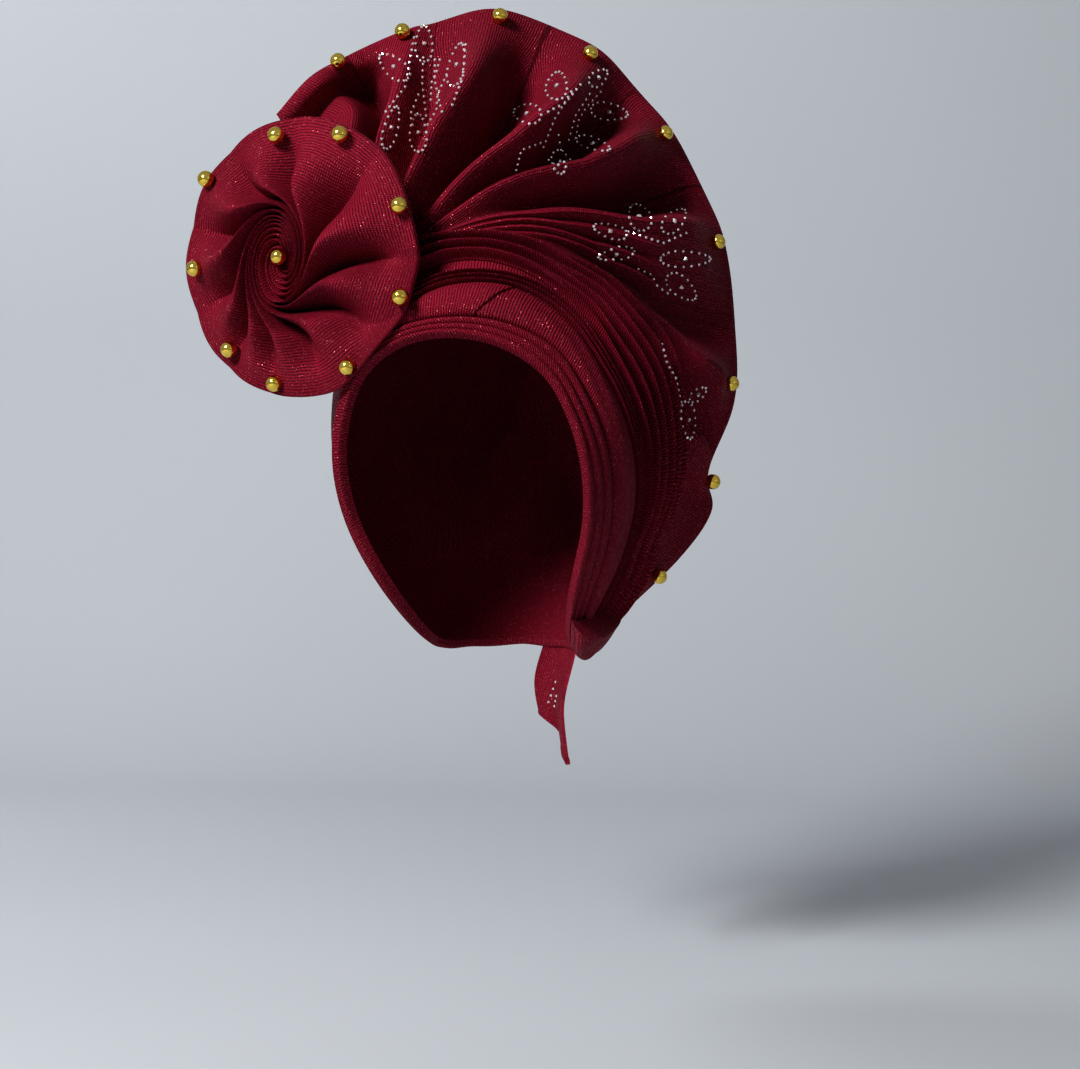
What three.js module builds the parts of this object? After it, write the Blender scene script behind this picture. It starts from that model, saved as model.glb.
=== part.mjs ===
// Tied gele head tie in pleated cloth: cap, face band, lapped panel, pleats, standing fan, rosette, knot and tail.
// Millimetres, +Z up. The face opening looks along -Y and the wearer's left is +X.
// The origin is the centre of the head at brow level.
import * as THREE from 'three';
import { mergeVertices } from 'three/addons/utils/BufferGeometryUtils.js';

// Head form: half an ellipsoid above the brow, an oval column that narrows and sets back below it
const HEAD = { halfWidth: 76, halfLength: 96, crown: 112, narrow: 38, shorten: 50, setBack: 26, reach: 100 };
const FORM_CENTRE = new THREE.Vector3(0, 10, -10);
const BACK_POLE = new THREE.Vector3(0, 88, 40);

// Cloth and trim sizes
const CLOTH = 1.6;
const GAP = 0.35;
const CAP_WALL = 2;
const BEAD_RADIUS = 4;
const CLOTH_COLOUR = '#7d1226';
const GOLD_COLOUR = '#d9b63c';

// Face edge of one half of the head, brow to nape, a row about every 25 mm, the other half mirrored
const FACE_EDGE = [
  { x: 0, y: -90, z: 37 },
  { x: 24, y: -87, z: 33 },
  { x: 43, y: -78, z: 20 },
  { x: 53, y: -70, z: 0 },
  { x: 57, y: -60, z: -22 },
  { x: 55, y: -46, z: -46 },
  { x: 48, y: -31, z: -69 },
  { x: 41, y: -12, z: -88 },
  { x: 36, y: 12, z: -103 },
  { x: 32, y: 38, z: -108 },
  { x: 22, y: 58, z: -108 },
  { x: 0, y: 68, z: -106 },
];

// Sections of the wrap. turn counts rows of FACE_EDGE, negative on the wearer's right.
// The other columns are millimetres from the face edge over the head; lift is how far the fan's foot stands off.
const WRAP = [
  { turn: -3, band: 9, panel: 13, inner: 15, gully: 17, root: 56, lift: 10 },
  { turn: -2, band: 9, panel: 14, inner: 18, gully: 22, root: 56, lift: 10 },
  { turn: -1, band: 8, panel: 16, inner: 24, gully: 32, root: 57, lift: 10 },
  { turn: 0, band: 8.5, panel: 25, inner: 33, gully: 41, root: 55.5, lift: 10 },
  { turn: 1, band: 11, panel: 30, inner: 38, gully: 43, root: 61, lift: 10 },
  { turn: 2, band: 14, panel: 31, inner: 40, gully: 42, root: 70, lift: 11 },
  { turn: 3, band: 16, panel: 33, inner: 42, gully: 43, root: 85, lift: 14 },
  { turn: 4, band: 18, panel: 37, inner: 46, gully: 47, root: 97, lift: 19 },
  { turn: 5, band: 18, panel: 40, inner: 48, gully: 49, root: 85, lift: 20 },
  { turn: 6, band: 17, panel: 36, inner: 43, gully: 44, root: 66, lift: 20 },
  { turn: 7, band: 13, panel: 25, inner: 31, gully: 32, root: 46, lift: 17 },
  { turn: 8, band: 10, panel: 17, inner: 22, gully: 23, root: 34, lift: 15 },
];

// Rim of the fan, from behind the rosette over the top and down to the nape
const FAN_RIM = [
  { x: -106, y: -17, z: 157 },
  { x: -81, y: -9, z: 183 },
  { x: -46, y: 4, z: 202 },
  { x: 1, y: 21, z: 214 },
  { x: 46, y: 38, z: 196 },
  { x: 81, y: 54, z: 157 },
  { x: 105, y: 64, z: 109 },
  { x: 113, y: 69, z: 58 },
  { x: 112, y: 70, z: 16 },
  { x: 99, y: 66, z: -20 },
  { x: 101, y: 66, z: -40 },
  { x: 85, y: 61, z: -64 },
  { x: 55, y: 50, z: -94 },
];

// Folds of the fan in turn. from and to count rows of FAN_RIM at the foot and at the rim; sweep is how soon the
// fold turns toward the rim. rise is the height of the fold over the fan's mean surface, below zero for a valley.
const FAN_FOLDS = [
  { from: 0, to: 0, sweep: 1.3, rise: -2 },
  { from: 0.5, to: 0.95, sweep: 1.3, rise: 9 },
  { from: 0.6, to: 1.6, sweep: 1.3, rise: -10 },
  { from: 0.75, to: 2.2, sweep: 1.8, rise: 8 },
  { from: 0.82, to: 2.55, sweep: 1.8, rise: -5 },
  { from: 0.95, to: 2.9, sweep: 1.75, rise: 9 },
  { from: 1.05, to: 3.25, sweep: 2, rise: -9 },
  { from: 1.25, to: 4.02, sweep: 2.2, rise: 12 },
  { from: 1.35, to: 4.45, sweep: 2.4, rise: -11 },
  { from: 1.5, to: 5.05, sweep: 2.6, rise: 11 },
  { from: 1.7, to: 5.55, sweep: 2.8, rise: -11 },
  { from: 2.1, to: 6.15, sweep: 3, rise: 9 },
  { from: 4.6, to: 7.15, sweep: 4, rise: -8 },
  { from: 6.2, to: 7.9, sweep: 5, rise: 7 },
  { from: 7.6, to: 8.65, sweep: 5, rise: -7 },
  { from: 8.9, to: 9.3, sweep: 3, rise: 6 },
  { from: 10, to: 10.4, sweep: 2, rise: -5 },
  { from: 12, to: 12, sweep: 1.3, rise: 0 },
];
const FAN_BOW = 4;
const FAN_FOOT_LIFT = 0.35;
const FAN_CLEAR = 4.6;
// Toward the rim the folds wave this way, so that the rim keeps an even outline from the front
const FRONT_WAY = new THREE.Vector3(0.208, -0.978, 0);
const FRONT_SHARE = 0.9;

// Rosette: a round of cloth whose folds wind into a coil beside its middle
const ROSETTE = { x: -75, y: -76, z: 78, facing: -17, tip: -2.5, radius: 65.5, coilOffset: -6, coil: 17, dome: 6 };
// The coil is an upright oval that rounds out by COIL_ROUND millimetres from its eye
const COIL_OVAL = { across: 0.86, up: 1.14 };
const COIL_ROUND = 42;
const COIL_TWIST = 88;
const COIL_RATE = 15.6;
const ROSETTE_CLEAR = 8.8;
const COIL_EYE = 1.5;
const RING_CROWDING = 1.15;

// Folds of the rosette by the angle of their crest at the rim, anticlockwise from the side nearest the brow
const ROSETTE_FOLDS = [
  { angle: -60, rise: 7 },
  { angle: -5, rise: 8 },
  { angle: 40, rise: 9 },
  { angle: 80, rise: 6 },
  { angle: 101, rise: 6 },
  { angle: 124, rise: 8 },
  { angle: 186, rise: 8 },
  { angle: 240, rise: 7 },
  { angle: 272, rise: 6 },
];

// Beads on the fan by rim row and distance in from the rim
const FAN_BEADS = [
  { row: 1.1, inset: 5 },
  { row: 2, inset: 5 },
  { row: 2.95, inset: 10 },
  { row: 3.93, inset: 14 },
  { row: 4.97, inset: 15 },
  { row: 6.15, inset: 16 },
  { row: 7.88, inset: 16 },
  { row: 9.35, inset: 4 },
  { row: 11.35, inset: 9 },
];

// Beads on the rosette by angle round the coil and distance in from the rim, packed out where the cloth humps
const ROSETTE_BEADS = [
  { angle: 16, inset: 4 },
  { angle: 58, inset: 5 },
  { angle: 95, inset: 8 },
  { angle: 136, inset: 3 },
  { angle: 184, inset: 15 },
  { angle: 236, inset: 13 },
  { angle: 266, inset: 7 },
  { angle: 305, inset: 6, packing: 1.3 },
  { angle: 342, inset: 3 },
];

const clamp01 = (a) => Math.min(1, Math.max(0, a));
const smooth = (lo, hi, a) => {
  const f = clamp01((a - lo) / (hi - lo));
  return f * f * (3 - 2 * f);
};
const mix = (a, b, f) => a + (b - a) * f;

function spline(a, b, c, d, f) {
  const turn = (c - a) * f;
  const bend = (2 * a - 5 * b + 4 * c - d) * f * f;
  const end = (3 * b - a - 3 * c + d) * f * f * f;
  return 0.5 * (2 * b + turn + bend + end);
}

// One column of a table, read smoothly at a place between two rows
function along(rows, key, at, ring = false) {
  const last = rows.length - 1;
  const i = ring ? Math.floor(at) : Math.min(last - 1, Math.max(0, Math.floor(at)));
  const pick = (k) => {
    const n = rows.length;
    return rows[ring ? ((k % n) + n) % n : Math.min(last, Math.max(0, k))][key];
  };
  return spline(pick(i - 1), pick(i), pick(i + 1), pick(i + 2), at - i);
}

const mirrored = FACE_EDGE.slice(1, -1).reverse().map((row) => ({ x: -row.x, y: row.y, z: row.z }));
const FACE_LOOP = [...FACE_EDGE, ...mirrored];

function pointAlong(rows, at, ring = false) {
  return new THREE.Vector3(along(rows, 'x', at, ring), along(rows, 'y', at, ring), along(rows, 'z', at, ring));
}

// Below one inside the head form, one on it
function formLevel(p) {
  const drop = (Math.min(p.z, 0) / HEAD.reach) ** 2;
  const halfWidth = Math.max(HEAD.halfWidth - HEAD.narrow * drop, 5);
  const halfLength = Math.max(HEAD.halfLength - HEAD.shorten * drop, 5);
  return Math.hypot(p.x / halfWidth, (p.y - HEAD.setBack * drop) / halfLength, Math.max(p.z, 0) / HEAD.crown);
}

function formRadius(direction) {
  let low = 0;
  let high = 320;
  for (let i = 0; i < 34; i += 1) {
    const mid = (low + high) / 2;
    const p = direction.clone().multiplyScalar(mid).add(FORM_CENTRE);
    if (formLevel(p) < 1) low = mid;
    else high = mid;
  }
  return low;
}

// The point over the head form in the same direction as p, lifted off the form
function overForm(p, lift) {
  const direction = p.clone().sub(FORM_CENTRE).normalize();
  return direction.multiplyScalar(formRadius(direction) + lift).add(FORM_CENTRE);
}

function liftOf(p) {
  const out = p.clone().sub(FORM_CENTRE);
  return out.length() - formRadius(out.clone().normalize());
}

// Keeps p at least this far off the head form
function clearOfHead(p, lift) {
  return liftOf(p) < lift ? overForm(p, lift) : p;
}

// The line over the head from the face edge to the back pole, measured out in millimetres
const LINE_STEPS = 40;
const lineCache = new Map();
function headLine(turn) {
  const key = turn.toFixed(4);
  if (lineCache.has(key)) return lineCache.get(key);
  const edge = pointAlong(FACE_LOOP, turn, true);
  const lengths = [0];
  let before = overForm(edge, 4);
  for (let i = 1; i <= LINE_STEPS; i += 1) {
    const here = overForm(edge.clone().lerp(BACK_POLE, i / LINE_STEPS), 4);
    lengths.push(lengths[i - 1] + here.distanceTo(before));
    before = here;
  }
  lineCache.set(key, { edge, lengths });
  return lineCache.get(key);
}

// A place on the head: turn along the face edge, distance back from it, lift off the form
function onHead(turn, distance, lift) {
  const { edge, lengths } = headLine(turn);
  let i = 0;
  while (i < LINE_STEPS - 1 && lengths[i + 1] < distance) i += 1;
  const share = (i + (distance - lengths[i]) / (lengths[i + 1] - lengths[i])) / LINE_STEPS;
  return overForm(edge.clone().lerp(BACK_POLE, share), lift);
}

const wrapAt = (key, turn) => along(WRAP, key, turn - WRAP[0].turn);

// A closed solid between an outer and an inner grid of points
function closedSheet(outer, inner, columns, rows, ring = false) {
  const points = [];
  const faces = [];
  const wide = ring ? columns : columns + 1;
  const at = (side, i, j) => side * wide * (rows + 1) + j * wide + (ring ? i % columns : i);
  for (const side of [outer, inner]) {
    for (let j = 0; j <= rows; j += 1) {
      for (let i = 0; i < wide; i += 1) points.push(side(i / columns, j / rows));
    }
  }
  const quad = (a, b, c, d) => faces.push([a, b, c], [a, c, d]);
  for (let j = 0; j < rows; j += 1) {
    for (let i = 0; i < columns; i += 1) {
      quad(at(0, i, j), at(0, i + 1, j), at(0, i + 1, j + 1), at(0, i, j + 1));
      quad(at(1, i, j), at(1, i, j + 1), at(1, i + 1, j + 1), at(1, i + 1, j));
    }
  }
  for (let i = 0; i < columns; i += 1) {
    quad(at(0, i + 1, 0), at(0, i, 0), at(1, i, 0), at(1, i + 1, 0));
    quad(at(0, i, rows), at(0, i + 1, rows), at(1, i + 1, rows), at(1, i, rows));
  }
  if (!ring) {
    for (let j = 0; j < rows; j += 1) {
      quad(at(0, 0, j), at(0, 0, j + 1), at(1, 0, j + 1), at(1, 0, j));
      quad(at(0, columns, j + 1), at(0, columns, j), at(1, columns, j), at(1, columns, j + 1));
    }
  }
  return solid(points, faces);
}

// Welds the points, drops faces that have closed up, and turns the faces outward
function solid(points, faces) {
  const geometry = new THREE.BufferGeometry();
  geometry.setAttribute('position', new THREE.Float32BufferAttribute(points.flatMap((p) => [p.x, p.y, p.z]), 3));
  geometry.setIndex(faces.flat());
  return tidySolid(geometry);
}

function tidySolid(geometry) {
  geometry.deleteAttribute('normal');
  geometry.deleteAttribute('uv');
  const welded = mergeVertices(geometry, 2e-3);
  const index = welded.getIndex().array;
  const position = welded.getAttribute('position');
  const corner = (k) => new THREE.Vector3().fromBufferAttribute(position, k);
  const kept = [];
  let volume = 0;
  for (let i = 0; i < index.length; i += 3) {
    const [a, b, c] = [index[i], index[i + 1], index[i + 2]];
    if (a === b || b === c || c === a) continue;
    kept.push(a, b, c);
    volume += corner(a).dot(corner(b).cross(corner(c)));
  }
  if (volume < 0) {
    for (let i = 0; i < kept.length; i += 3) [kept[i + 1], kept[i + 2]] = [kept[i + 2], kept[i + 1]];
  }
  welded.setIndex(kept);
  welded.computeVertexNormals();
  return welded;
}

const part = new THREE.Group();

function addPiece(name, geometry, gold = false) {
  const material = new THREE.MeshStandardMaterial({
    color: gold ? GOLD_COLOUR : CLOTH_COLOUR,
    roughness: gold ? 0.25 : 0.7,
    metalness: gold ? 1 : 0,
  });
  const mesh = new THREE.Mesh(geometry, material);
  mesh.name = name;
  part.add(mesh);
}

// Rounded rolls side by side, from nought at each seam to one on each crest
const rolls = (q, count) => Math.sqrt(Math.abs(Math.sin(Math.PI * q * count)));

// Cap: the plain dome under the wrap
const LOOP_ROWS = FACE_LOOP.length;
const capLine = (share) => share ** 1.1;
function capSurface(lift) {
  return (u, v) => {
    const edge = pointAlong(FACE_LOOP, u * LOOP_ROWS, true);
    return overForm(edge.lerp(BACK_POLE, capLine(v)), lift);
  };
}
addPiece('cap', closedSheet(capSurface(CAP_WALL), capSurface(0), 44, 7, true));

// Face band: soft rolls all the way round the face edge
const BAND_FOOT = CAP_WALL + GAP + 0.25;
const bandWidth = (turn) => {
  const wrapped = turn > LOOP_ROWS / 2 ? turn - LOOP_ROWS : turn;
  const low = WRAP[0].turn;
  const high = WRAP[WRAP.length - 1].turn;
  return wrapAt('band', Math.min(high, Math.max(low, wrapped))) - 0.8;
};
function bandOuter(u, v) {
  const turn = u * LOOP_ROWS;
  const lift = mix(3.4, 4.4, v) + 1.7 * rolls(v, 3);
  return onHead(turn, bandWidth(turn) * v, lift);
}
const bandInner = (u, v) => onHead(u * LOOP_ROWS, bandWidth(u * LOOP_ROWS) * v, BAND_FOOT);
addPiece('face_band', closedSheet(bandOuter, bandInner, 44, 6, true));

// A strip of the wrap between two columns of the table
function wrapStrip({ start, end, near, far, nearGap, farGap, outerLift, innerLift, columns, rows }) {
  const place = (u, v, lift) => {
    const turn = mix(start, end, u);
    const low = wrapAt(near, turn) + nearGap;
    const high = wrapAt(far, turn) - farGap;
    return onHead(turn, mix(low, high, v), lift(turn, v));
  };
  const outer = (u, v) => place(u, v, outerLift);
  const inner = (u, v) => place(u, v, innerLift);
  return closedSheet(outer, inner, columns, rows);
}

// Panel: two smooth padded lengths, the wearer's right one lapped over the left one at LAP_TURN
const LAP_TURN = 0.75;
const LAP_SLANT = 0.55;
const KNOT_TURN = 7.1;
const panelBulge = (v) => Math.sqrt(Math.max(0, 1 - (2 * v - 1) ** 2));
const lapAt = (v) => LAP_TURN + LAP_SLANT * (v - 0.5);
function panelStrip(startAt, endAt, columns, rows) {
  const place = (u, v, lift) => {
    const turn = mix(startAt(v), endAt(v), u);
    const low = wrapAt('band', turn) + 0.2;
    const high = wrapAt('panel', turn) - 0.2;
    return onHead(turn, mix(low, high, v), lift);
  };
  const outer = (u, v) => place(u, v, BAND_FOOT + 1.2 + 3.6 * panelBulge(v));
  const inner = (u, v) => place(u, v, BAND_FOOT);
  return closedSheet(outer, inner, columns, rows);
}
addPiece('panel_over', panelStrip(() => -2, lapAt, 10, 5));
addPiece('panel_under', panelStrip((v) => lapAt(v) + 0.02, () => KNOT_TURN, 22, 5));

// Pleats beside the panel
const stackFloor = (lift) => Math.max(BAND_FOOT, lift - 5);
const innerLift = (turn, v) => 5.4 + 2.4 * rolls(v, 2);
addPiece('pleats_inner', wrapStrip({
  start: -0.9, end: KNOT_TURN, near: 'panel', far: 'inner', nearGap: 0.2, farGap: 0.2,
  outerLift: innerLift, innerLift: () => BAND_FOOT, columns: 24, rows: 4,
}));

// Stack of pleats at the foot of the fan
const OUTER_PLEATS = 6;
const outerBase = (turn, v) => mix(4.6, wrapAt('lift', turn) - 2.6, v ** 1.2);
const outerLift = (turn, v) => outerBase(turn, v) + 2.4 * rolls(v, OUTER_PLEATS);
addPiece('pleats_outer', wrapStrip({
  start: -2, end: KNOT_TURN, near: 'gully', far: 'root', nearGap: 0.2, farGap: 0.5,
  outerLift, innerLift: (turn, v) => stackFloor(outerBase(turn, v)), columns: 24, rows: 12,
}));

// Fan: a bowed sheet from its foot to the rim, raised and sunk by the folds
const RIM_ROWS = FAN_RIM.length - 1;
const footTurn = (row) => mix(-1.5, KNOT_TURN - 0.35, row / RIM_ROWS);
function fanBase(row, out) {
  const turn = footTurn(row);
  const lift = Math.max(BAND_FOOT + FAN_FOOT_LIFT, wrapAt('lift', turn) - 6);
  const foot = onHead(turn, wrapAt('root', turn) + 0.6, lift);
  const rim = pointAlong(FAN_RIM, row);
  const away = foot.clone().sub(FORM_CENTRE).normalize();
  const bow = foot.clone().lerp(rim, 0.5).addScaledVector(away, FAN_BOW);
  const first = foot.lerp(bow, out);
  return first.lerp(bow.clone().lerp(rim, out), out);
}
function fanFacing(row, out) {
  const step = 0.02;
  const across = fanBase(Math.min(RIM_ROWS, row + step), out).sub(fanBase(Math.max(0, row - step), out));
  const outward = fanBase(row, Math.min(1, out + step)).sub(fanBase(row, Math.max(0, out - step)));
  return outward.cross(across).normalize().negate();
}
function fanFoldAt(place, out) {
  const last = FAN_FOLDS.length - 1;
  const at = clamp01(place) * last;
  const i = Math.min(last - 1, Math.floor(at));
  const f = at - i;
  const rowOf = (fold) => mix(fold.from, fold.to, 1 - (1 - out) ** fold.sweep);
  const ease = 0.5 - 0.5 * Math.cos(Math.PI * f);
  const row = mix(rowOf(FAN_FOLDS[i]), rowOf(FAN_FOLDS[i + 1]), f);
  const rise = mix(FAN_FOLDS[i].rise, FAN_FOLDS[i + 1].rise, ease);
  const swell = smooth(0.02, 0.4, out) * (1 - 0.65 * smooth(0.6, 1, out));
  return { row, rise: rise * swell };
}
function fanSurface(depth) {
  return (u, v) => {
    const { row, rise } = fanFoldAt(u, v);
    const facing = fanFacing(row, v);
    const way = facing.clone().lerp(FRONT_WAY, FRONT_SHARE * smooth(0.4, 1, v)).normalize();
    const p = fanBase(row, v).addScaledVector(way, rise).addScaledVector(facing, depth);
    return clearOfHead(p, FAN_CLEAR + depth);
  };
}
addPiece('fan', closedSheet(fanSurface(CLOTH / 2), fanSurface(-CLOTH / 2), (FAN_FOLDS.length - 1) * 4, 9));

// Rosette, in its own plane: right is toward the brow, up is up, front faces away from the head
const facing = THREE.MathUtils.degToRad(ROSETTE.facing);
const tip = THREE.MathUtils.degToRad(ROSETTE.tip);
const rosetteFront = new THREE.Vector3(
  Math.sin(facing) * Math.cos(tip), -Math.cos(facing) * Math.cos(tip), Math.sin(tip));
const rosetteRight = new THREE.Vector3(Math.cos(facing), Math.sin(facing), 0);
const rosetteUp = rosetteFront.clone().cross(rosetteRight);
const rosetteMid = new THREE.Vector3(ROSETTE.x, ROSETTE.y, ROSETTE.z);

function rosetteReach(angle) {
  const o = ROSETTE.coilOffset;
  return -o * Math.cos(angle) + Math.sqrt(ROSETTE.radius ** 2 - (o * Math.sin(angle)) ** 2);
}
function coilTurn(radius) {
  if (radius < ROSETTE.coil) return COIL_TWIST + COIL_RATE * (ROSETTE.coil - radius);
  return COIL_TWIST * Math.exp((ROSETTE.coil - radius) / 5.6);
}
// Fold place in degrees at the rim, to the height of the cloth there
function rosetteRise(rimAngle) {
  const n = ROSETTE_FOLDS.length;
  for (let i = 0; i < n; i += 1) {
    const here = ROSETTE_FOLDS[i];
    const next = ROSETTE_FOLDS[(i + 1) % n];
    const width = (((next.angle - here.angle) % 360) + 360) % 360;
    const from = (((rimAngle - here.angle) % 360) + 360) % 360;
    if (from <= width) return mix(here.rise, next.rise, from / width) * Math.cos((2 * Math.PI * from) / width);
  }
  return 0;
}
const rosetteShare = (radius, reach) => ((radius - COIL_EYE) / (reach - COIL_EYE)) ** (1 / RING_CROWDING);
function rosetteSurface(depth) {
  return (u, v) => {
    const rimAngle = 360 * u;
    const straight = THREE.MathUtils.degToRad(rimAngle);
    const reach = rosetteReach(straight);
    const radius = mix(COIL_EYE, reach, v ** RING_CROWDING);
    const angle = straight - THREE.MathUtils.degToRad(coilTurn(radius));
    const share = radius / reach;
    const swell = mix(0.12, 1, smooth(10, 34, radius)) * (1 - 0.72 * smooth(0.65, 1, share));
    const dome = ROSETTE.dome * (1 - share * share) - 3 * (1 - smooth(0, 14, radius));
    const height = dome + rosetteRise(rimAngle) * swell + depth;
    const oval = 1 - smooth(12, COIL_ROUND, radius);
    const right = ROSETTE.coilOffset + radius * Math.cos(angle) * mix(1, COIL_OVAL.across, oval);
    const up = radius * Math.sin(angle) * mix(1, COIL_OVAL.up, oval);
    const p = rosetteMid.clone().addScaledVector(rosetteRight, right);
    p.addScaledVector(rosetteUp, up).addScaledVector(rosetteFront, height);
    return clearOfHead(p, ROSETTE_CLEAR + depth);
  };
}
const rosetteFace = rosetteSurface(CLOTH / 2);
const rosetteBack = rosetteSurface(-CLOTH / 2);
// The stem behind the coil, bunched down toward the head
function rosetteRear(u, v) {
  const p = rosetteBack(u, v);
  const stem = 1 - smooth(0.08, 0.36, v);
  return clearOfHead(p.addScaledVector(rosetteFront, -26 * stem), ROSETTE_CLEAR - CLOTH / 2);
}
function roundSheet(front, rear, columns, rows) {
  const tipOf = (side) => {
    const middle = new THREE.Vector3();
    for (let i = 0; i < columns; i += 1) middle.add(side(i / columns, 0));
    return middle.divideScalar(columns);
  };
  const frontTip = tipOf(front);
  const rearTip = tipOf(rear);
  const shut = (side, middle) => (u, v) => (v === 0 ? middle.clone() : side(u, v));
  return closedSheet(shut(front, frontTip), shut(rear, rearTip), columns, rows, true);
}
addPiece('rosette', roundSheet(rosetteFace, rosetteRear, 54, 9));

// Knot: a folded tab lapped over the foot of the pleats, narrower at its lower end
const KNOT = { start: 7.13, end: 8.25, near: 0.5, farTop: 46, farFoot: 22, foot: 6.5, depth: 7 };
function knotSide(thickness) {
  return (u, v) => {
    const turn = mix(KNOT.start, KNOT.end, u);
    const far = mix(KNOT.farTop, KNOT.farFoot, u);
    const plump = Math.sqrt(Math.max(0.06, 1 - (2 * u - 1) ** 4)) * Math.sqrt(Math.max(0.06, 1 - (2 * v - 1) ** 4));
    return onHead(turn, mix(KNOT.near, far, v), KNOT.foot + thickness * plump);
  };
}
addPiece('nape_knot', closedSheet(knotSide(KNOT.depth), knotSide(0), 6, 8));

// Tail: the free end, hung from beside the knot round the back of the neck
const TAIL = { start: 8.75, end: 10.5, top: 3, lift: 6.8, length: 60, slant: 22, sway: 3 };
function tailSide(depth) {
  return (u, v) => {
    const hem = onHead(mix(TAIL.start, TAIL.end, u), TAIL.top, TAIL.lift + depth);
    const fold = 1.5 * Math.sin(2 * Math.PI * (1.5 * u + 0.4 * v)) * v;
    const away = hem.clone().sub(FORM_CENTRE).setZ(0).normalize();
    hem.z -= (TAIL.length - TAIL.slant * u) * v;
    hem.x -= TAIL.sway * Math.sin(Math.PI * v);
    return hem.addScaledVector(away, fold - 5 * smooth(0, 0.6, v));
  };
}
addPiece('tail', closedSheet(tailSide(CLOTH / 2), tailSide(-CLOTH / 2), 9, 6));

// Beads, each seated just clear of the cloth on the side that faces the given way
function addBead(name, seat, away, packing = 0) {
  const centre = seat.clone().addScaledVector(away, BEAD_RADIUS + GAP + packing);
  const ball = new THREE.SphereGeometry(BEAD_RADIUS, 10, 5);
  addPiece(name, tidySolid(ball.translate(centre.x, centre.y, centre.z)), true);
}
function clothFacing(surface, u, v, toward) {
  const step = 0.004;
  const across = surface(Math.min(1, u + step), v).sub(surface(Math.max(0, u - step), v));
  const outward = surface(u, Math.min(1, v + step * 4)).sub(surface(u, v - step * 4));
  const away = across.cross(outward).normalize();
  return away.dot(toward) < 0 ? away.negate() : away;
}
const two = (n) => String(n).padStart(2, '0');

// The place across the fan that reaches the rim at this row
function fanPlace(row) {
  const i = Math.max(0, FAN_FOLDS.findIndex((fold) => fold.to > row) - 1);
  const f = (row - FAN_FOLDS[i].to) / (FAN_FOLDS[i + 1].to - FAN_FOLDS[i].to);
  return (i + f) / (FAN_FOLDS.length - 1);
}
FAN_BEADS.forEach(({ row, inset }, i) => {
  const length = fanBase(row, 1).distanceTo(fanBase(row, 0));
  const front = fanSurface(CLOTH / 2);
  const [u, v] = [fanPlace(row), 1 - inset / length];
  addBead(`fan_bead_${two(i + 1)}`, front(u, v), clothFacing(front, u, v, fanFacing(row, 1)));
});
ROSETTE_BEADS.forEach(({ angle, inset, packing }, i) => {
  const reach = rosetteReach(THREE.MathUtils.degToRad(angle));
  const [u, v] = [angle / 360, rosetteShare(reach - inset, reach)];
  const away = clothFacing(rosetteFace, u, v, rosetteFront);
  addBead(`rosette_bead_${two(i + 1)}`, rosetteFace(u, v), away, packing);
});
const coilSeat = new THREE.Vector3();
for (let i = 0; i < 12; i += 1) coilSeat.addScaledVector(rosetteFace(i / 12, 0), 1 / 12);
addBead('rosette_centre_bead', coilSeat, rosetteFront);

export default part;
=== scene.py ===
"""Looks of a tied gele head tie: wrap, standing fan, rosette, knot, tail, gold beads and stone flowers."""
import math

import bpy
import bmesh
import numpy as np
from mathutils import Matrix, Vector
from mathutils.bvhtree import BVHTree


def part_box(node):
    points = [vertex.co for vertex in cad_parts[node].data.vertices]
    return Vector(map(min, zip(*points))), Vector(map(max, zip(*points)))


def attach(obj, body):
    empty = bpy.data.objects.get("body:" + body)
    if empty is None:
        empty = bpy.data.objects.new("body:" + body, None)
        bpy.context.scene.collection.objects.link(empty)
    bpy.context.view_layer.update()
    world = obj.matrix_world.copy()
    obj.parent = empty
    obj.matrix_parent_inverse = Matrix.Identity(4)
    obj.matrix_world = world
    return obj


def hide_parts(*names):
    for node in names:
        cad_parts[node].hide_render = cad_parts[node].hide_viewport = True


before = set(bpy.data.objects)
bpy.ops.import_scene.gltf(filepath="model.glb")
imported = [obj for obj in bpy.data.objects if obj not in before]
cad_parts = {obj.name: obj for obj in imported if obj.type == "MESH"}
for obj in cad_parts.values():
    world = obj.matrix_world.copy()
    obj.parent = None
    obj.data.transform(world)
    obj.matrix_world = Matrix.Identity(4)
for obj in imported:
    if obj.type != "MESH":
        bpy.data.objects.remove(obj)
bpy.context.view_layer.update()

bl_info = {
    "name": "Tied gele head tie",
    "version": (1, 0, 0),
    "blender": (4, 5, 0),
    "location": "View3D > Sidebar > Gele",
    "description": "Builds a tied gele from pleated cloth, gold beads and stone flowers",
    "category": "Object",
}

# Shapes are worked out in millimetres and scaled to metres when a mesh is made.
MM = 0.001

# Head form under the cloth
HEAD = {
    "half_width": 76, "half_length": 96, "crown": 112,
    "narrow": 38, "shorten": 50, "set_back": 26, "reach": 100,
}
FORM_CENTRE = np.array([0.0, 10.0, -10.0])
BACK_POLE = np.array([0.0, 88.0, 40.0])

# Wall of the cap, and the least lift off the head of the pleats' underside, the fan and the rosette
CAP_WALL = 2.0
BAND_FOOT = 2.6
FAN_CLEAR = 4.6
ROSETTE_CLEAR = 8.8

# Mesh columns and rows of the plainer pieces
CAP_GRID = (176, 60)
BAND_GRID = (440, 36)
PANEL_ROWS = 30
KNOT_GRID = (60, 80)
TAIL_GRID = (90, 90)

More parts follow.
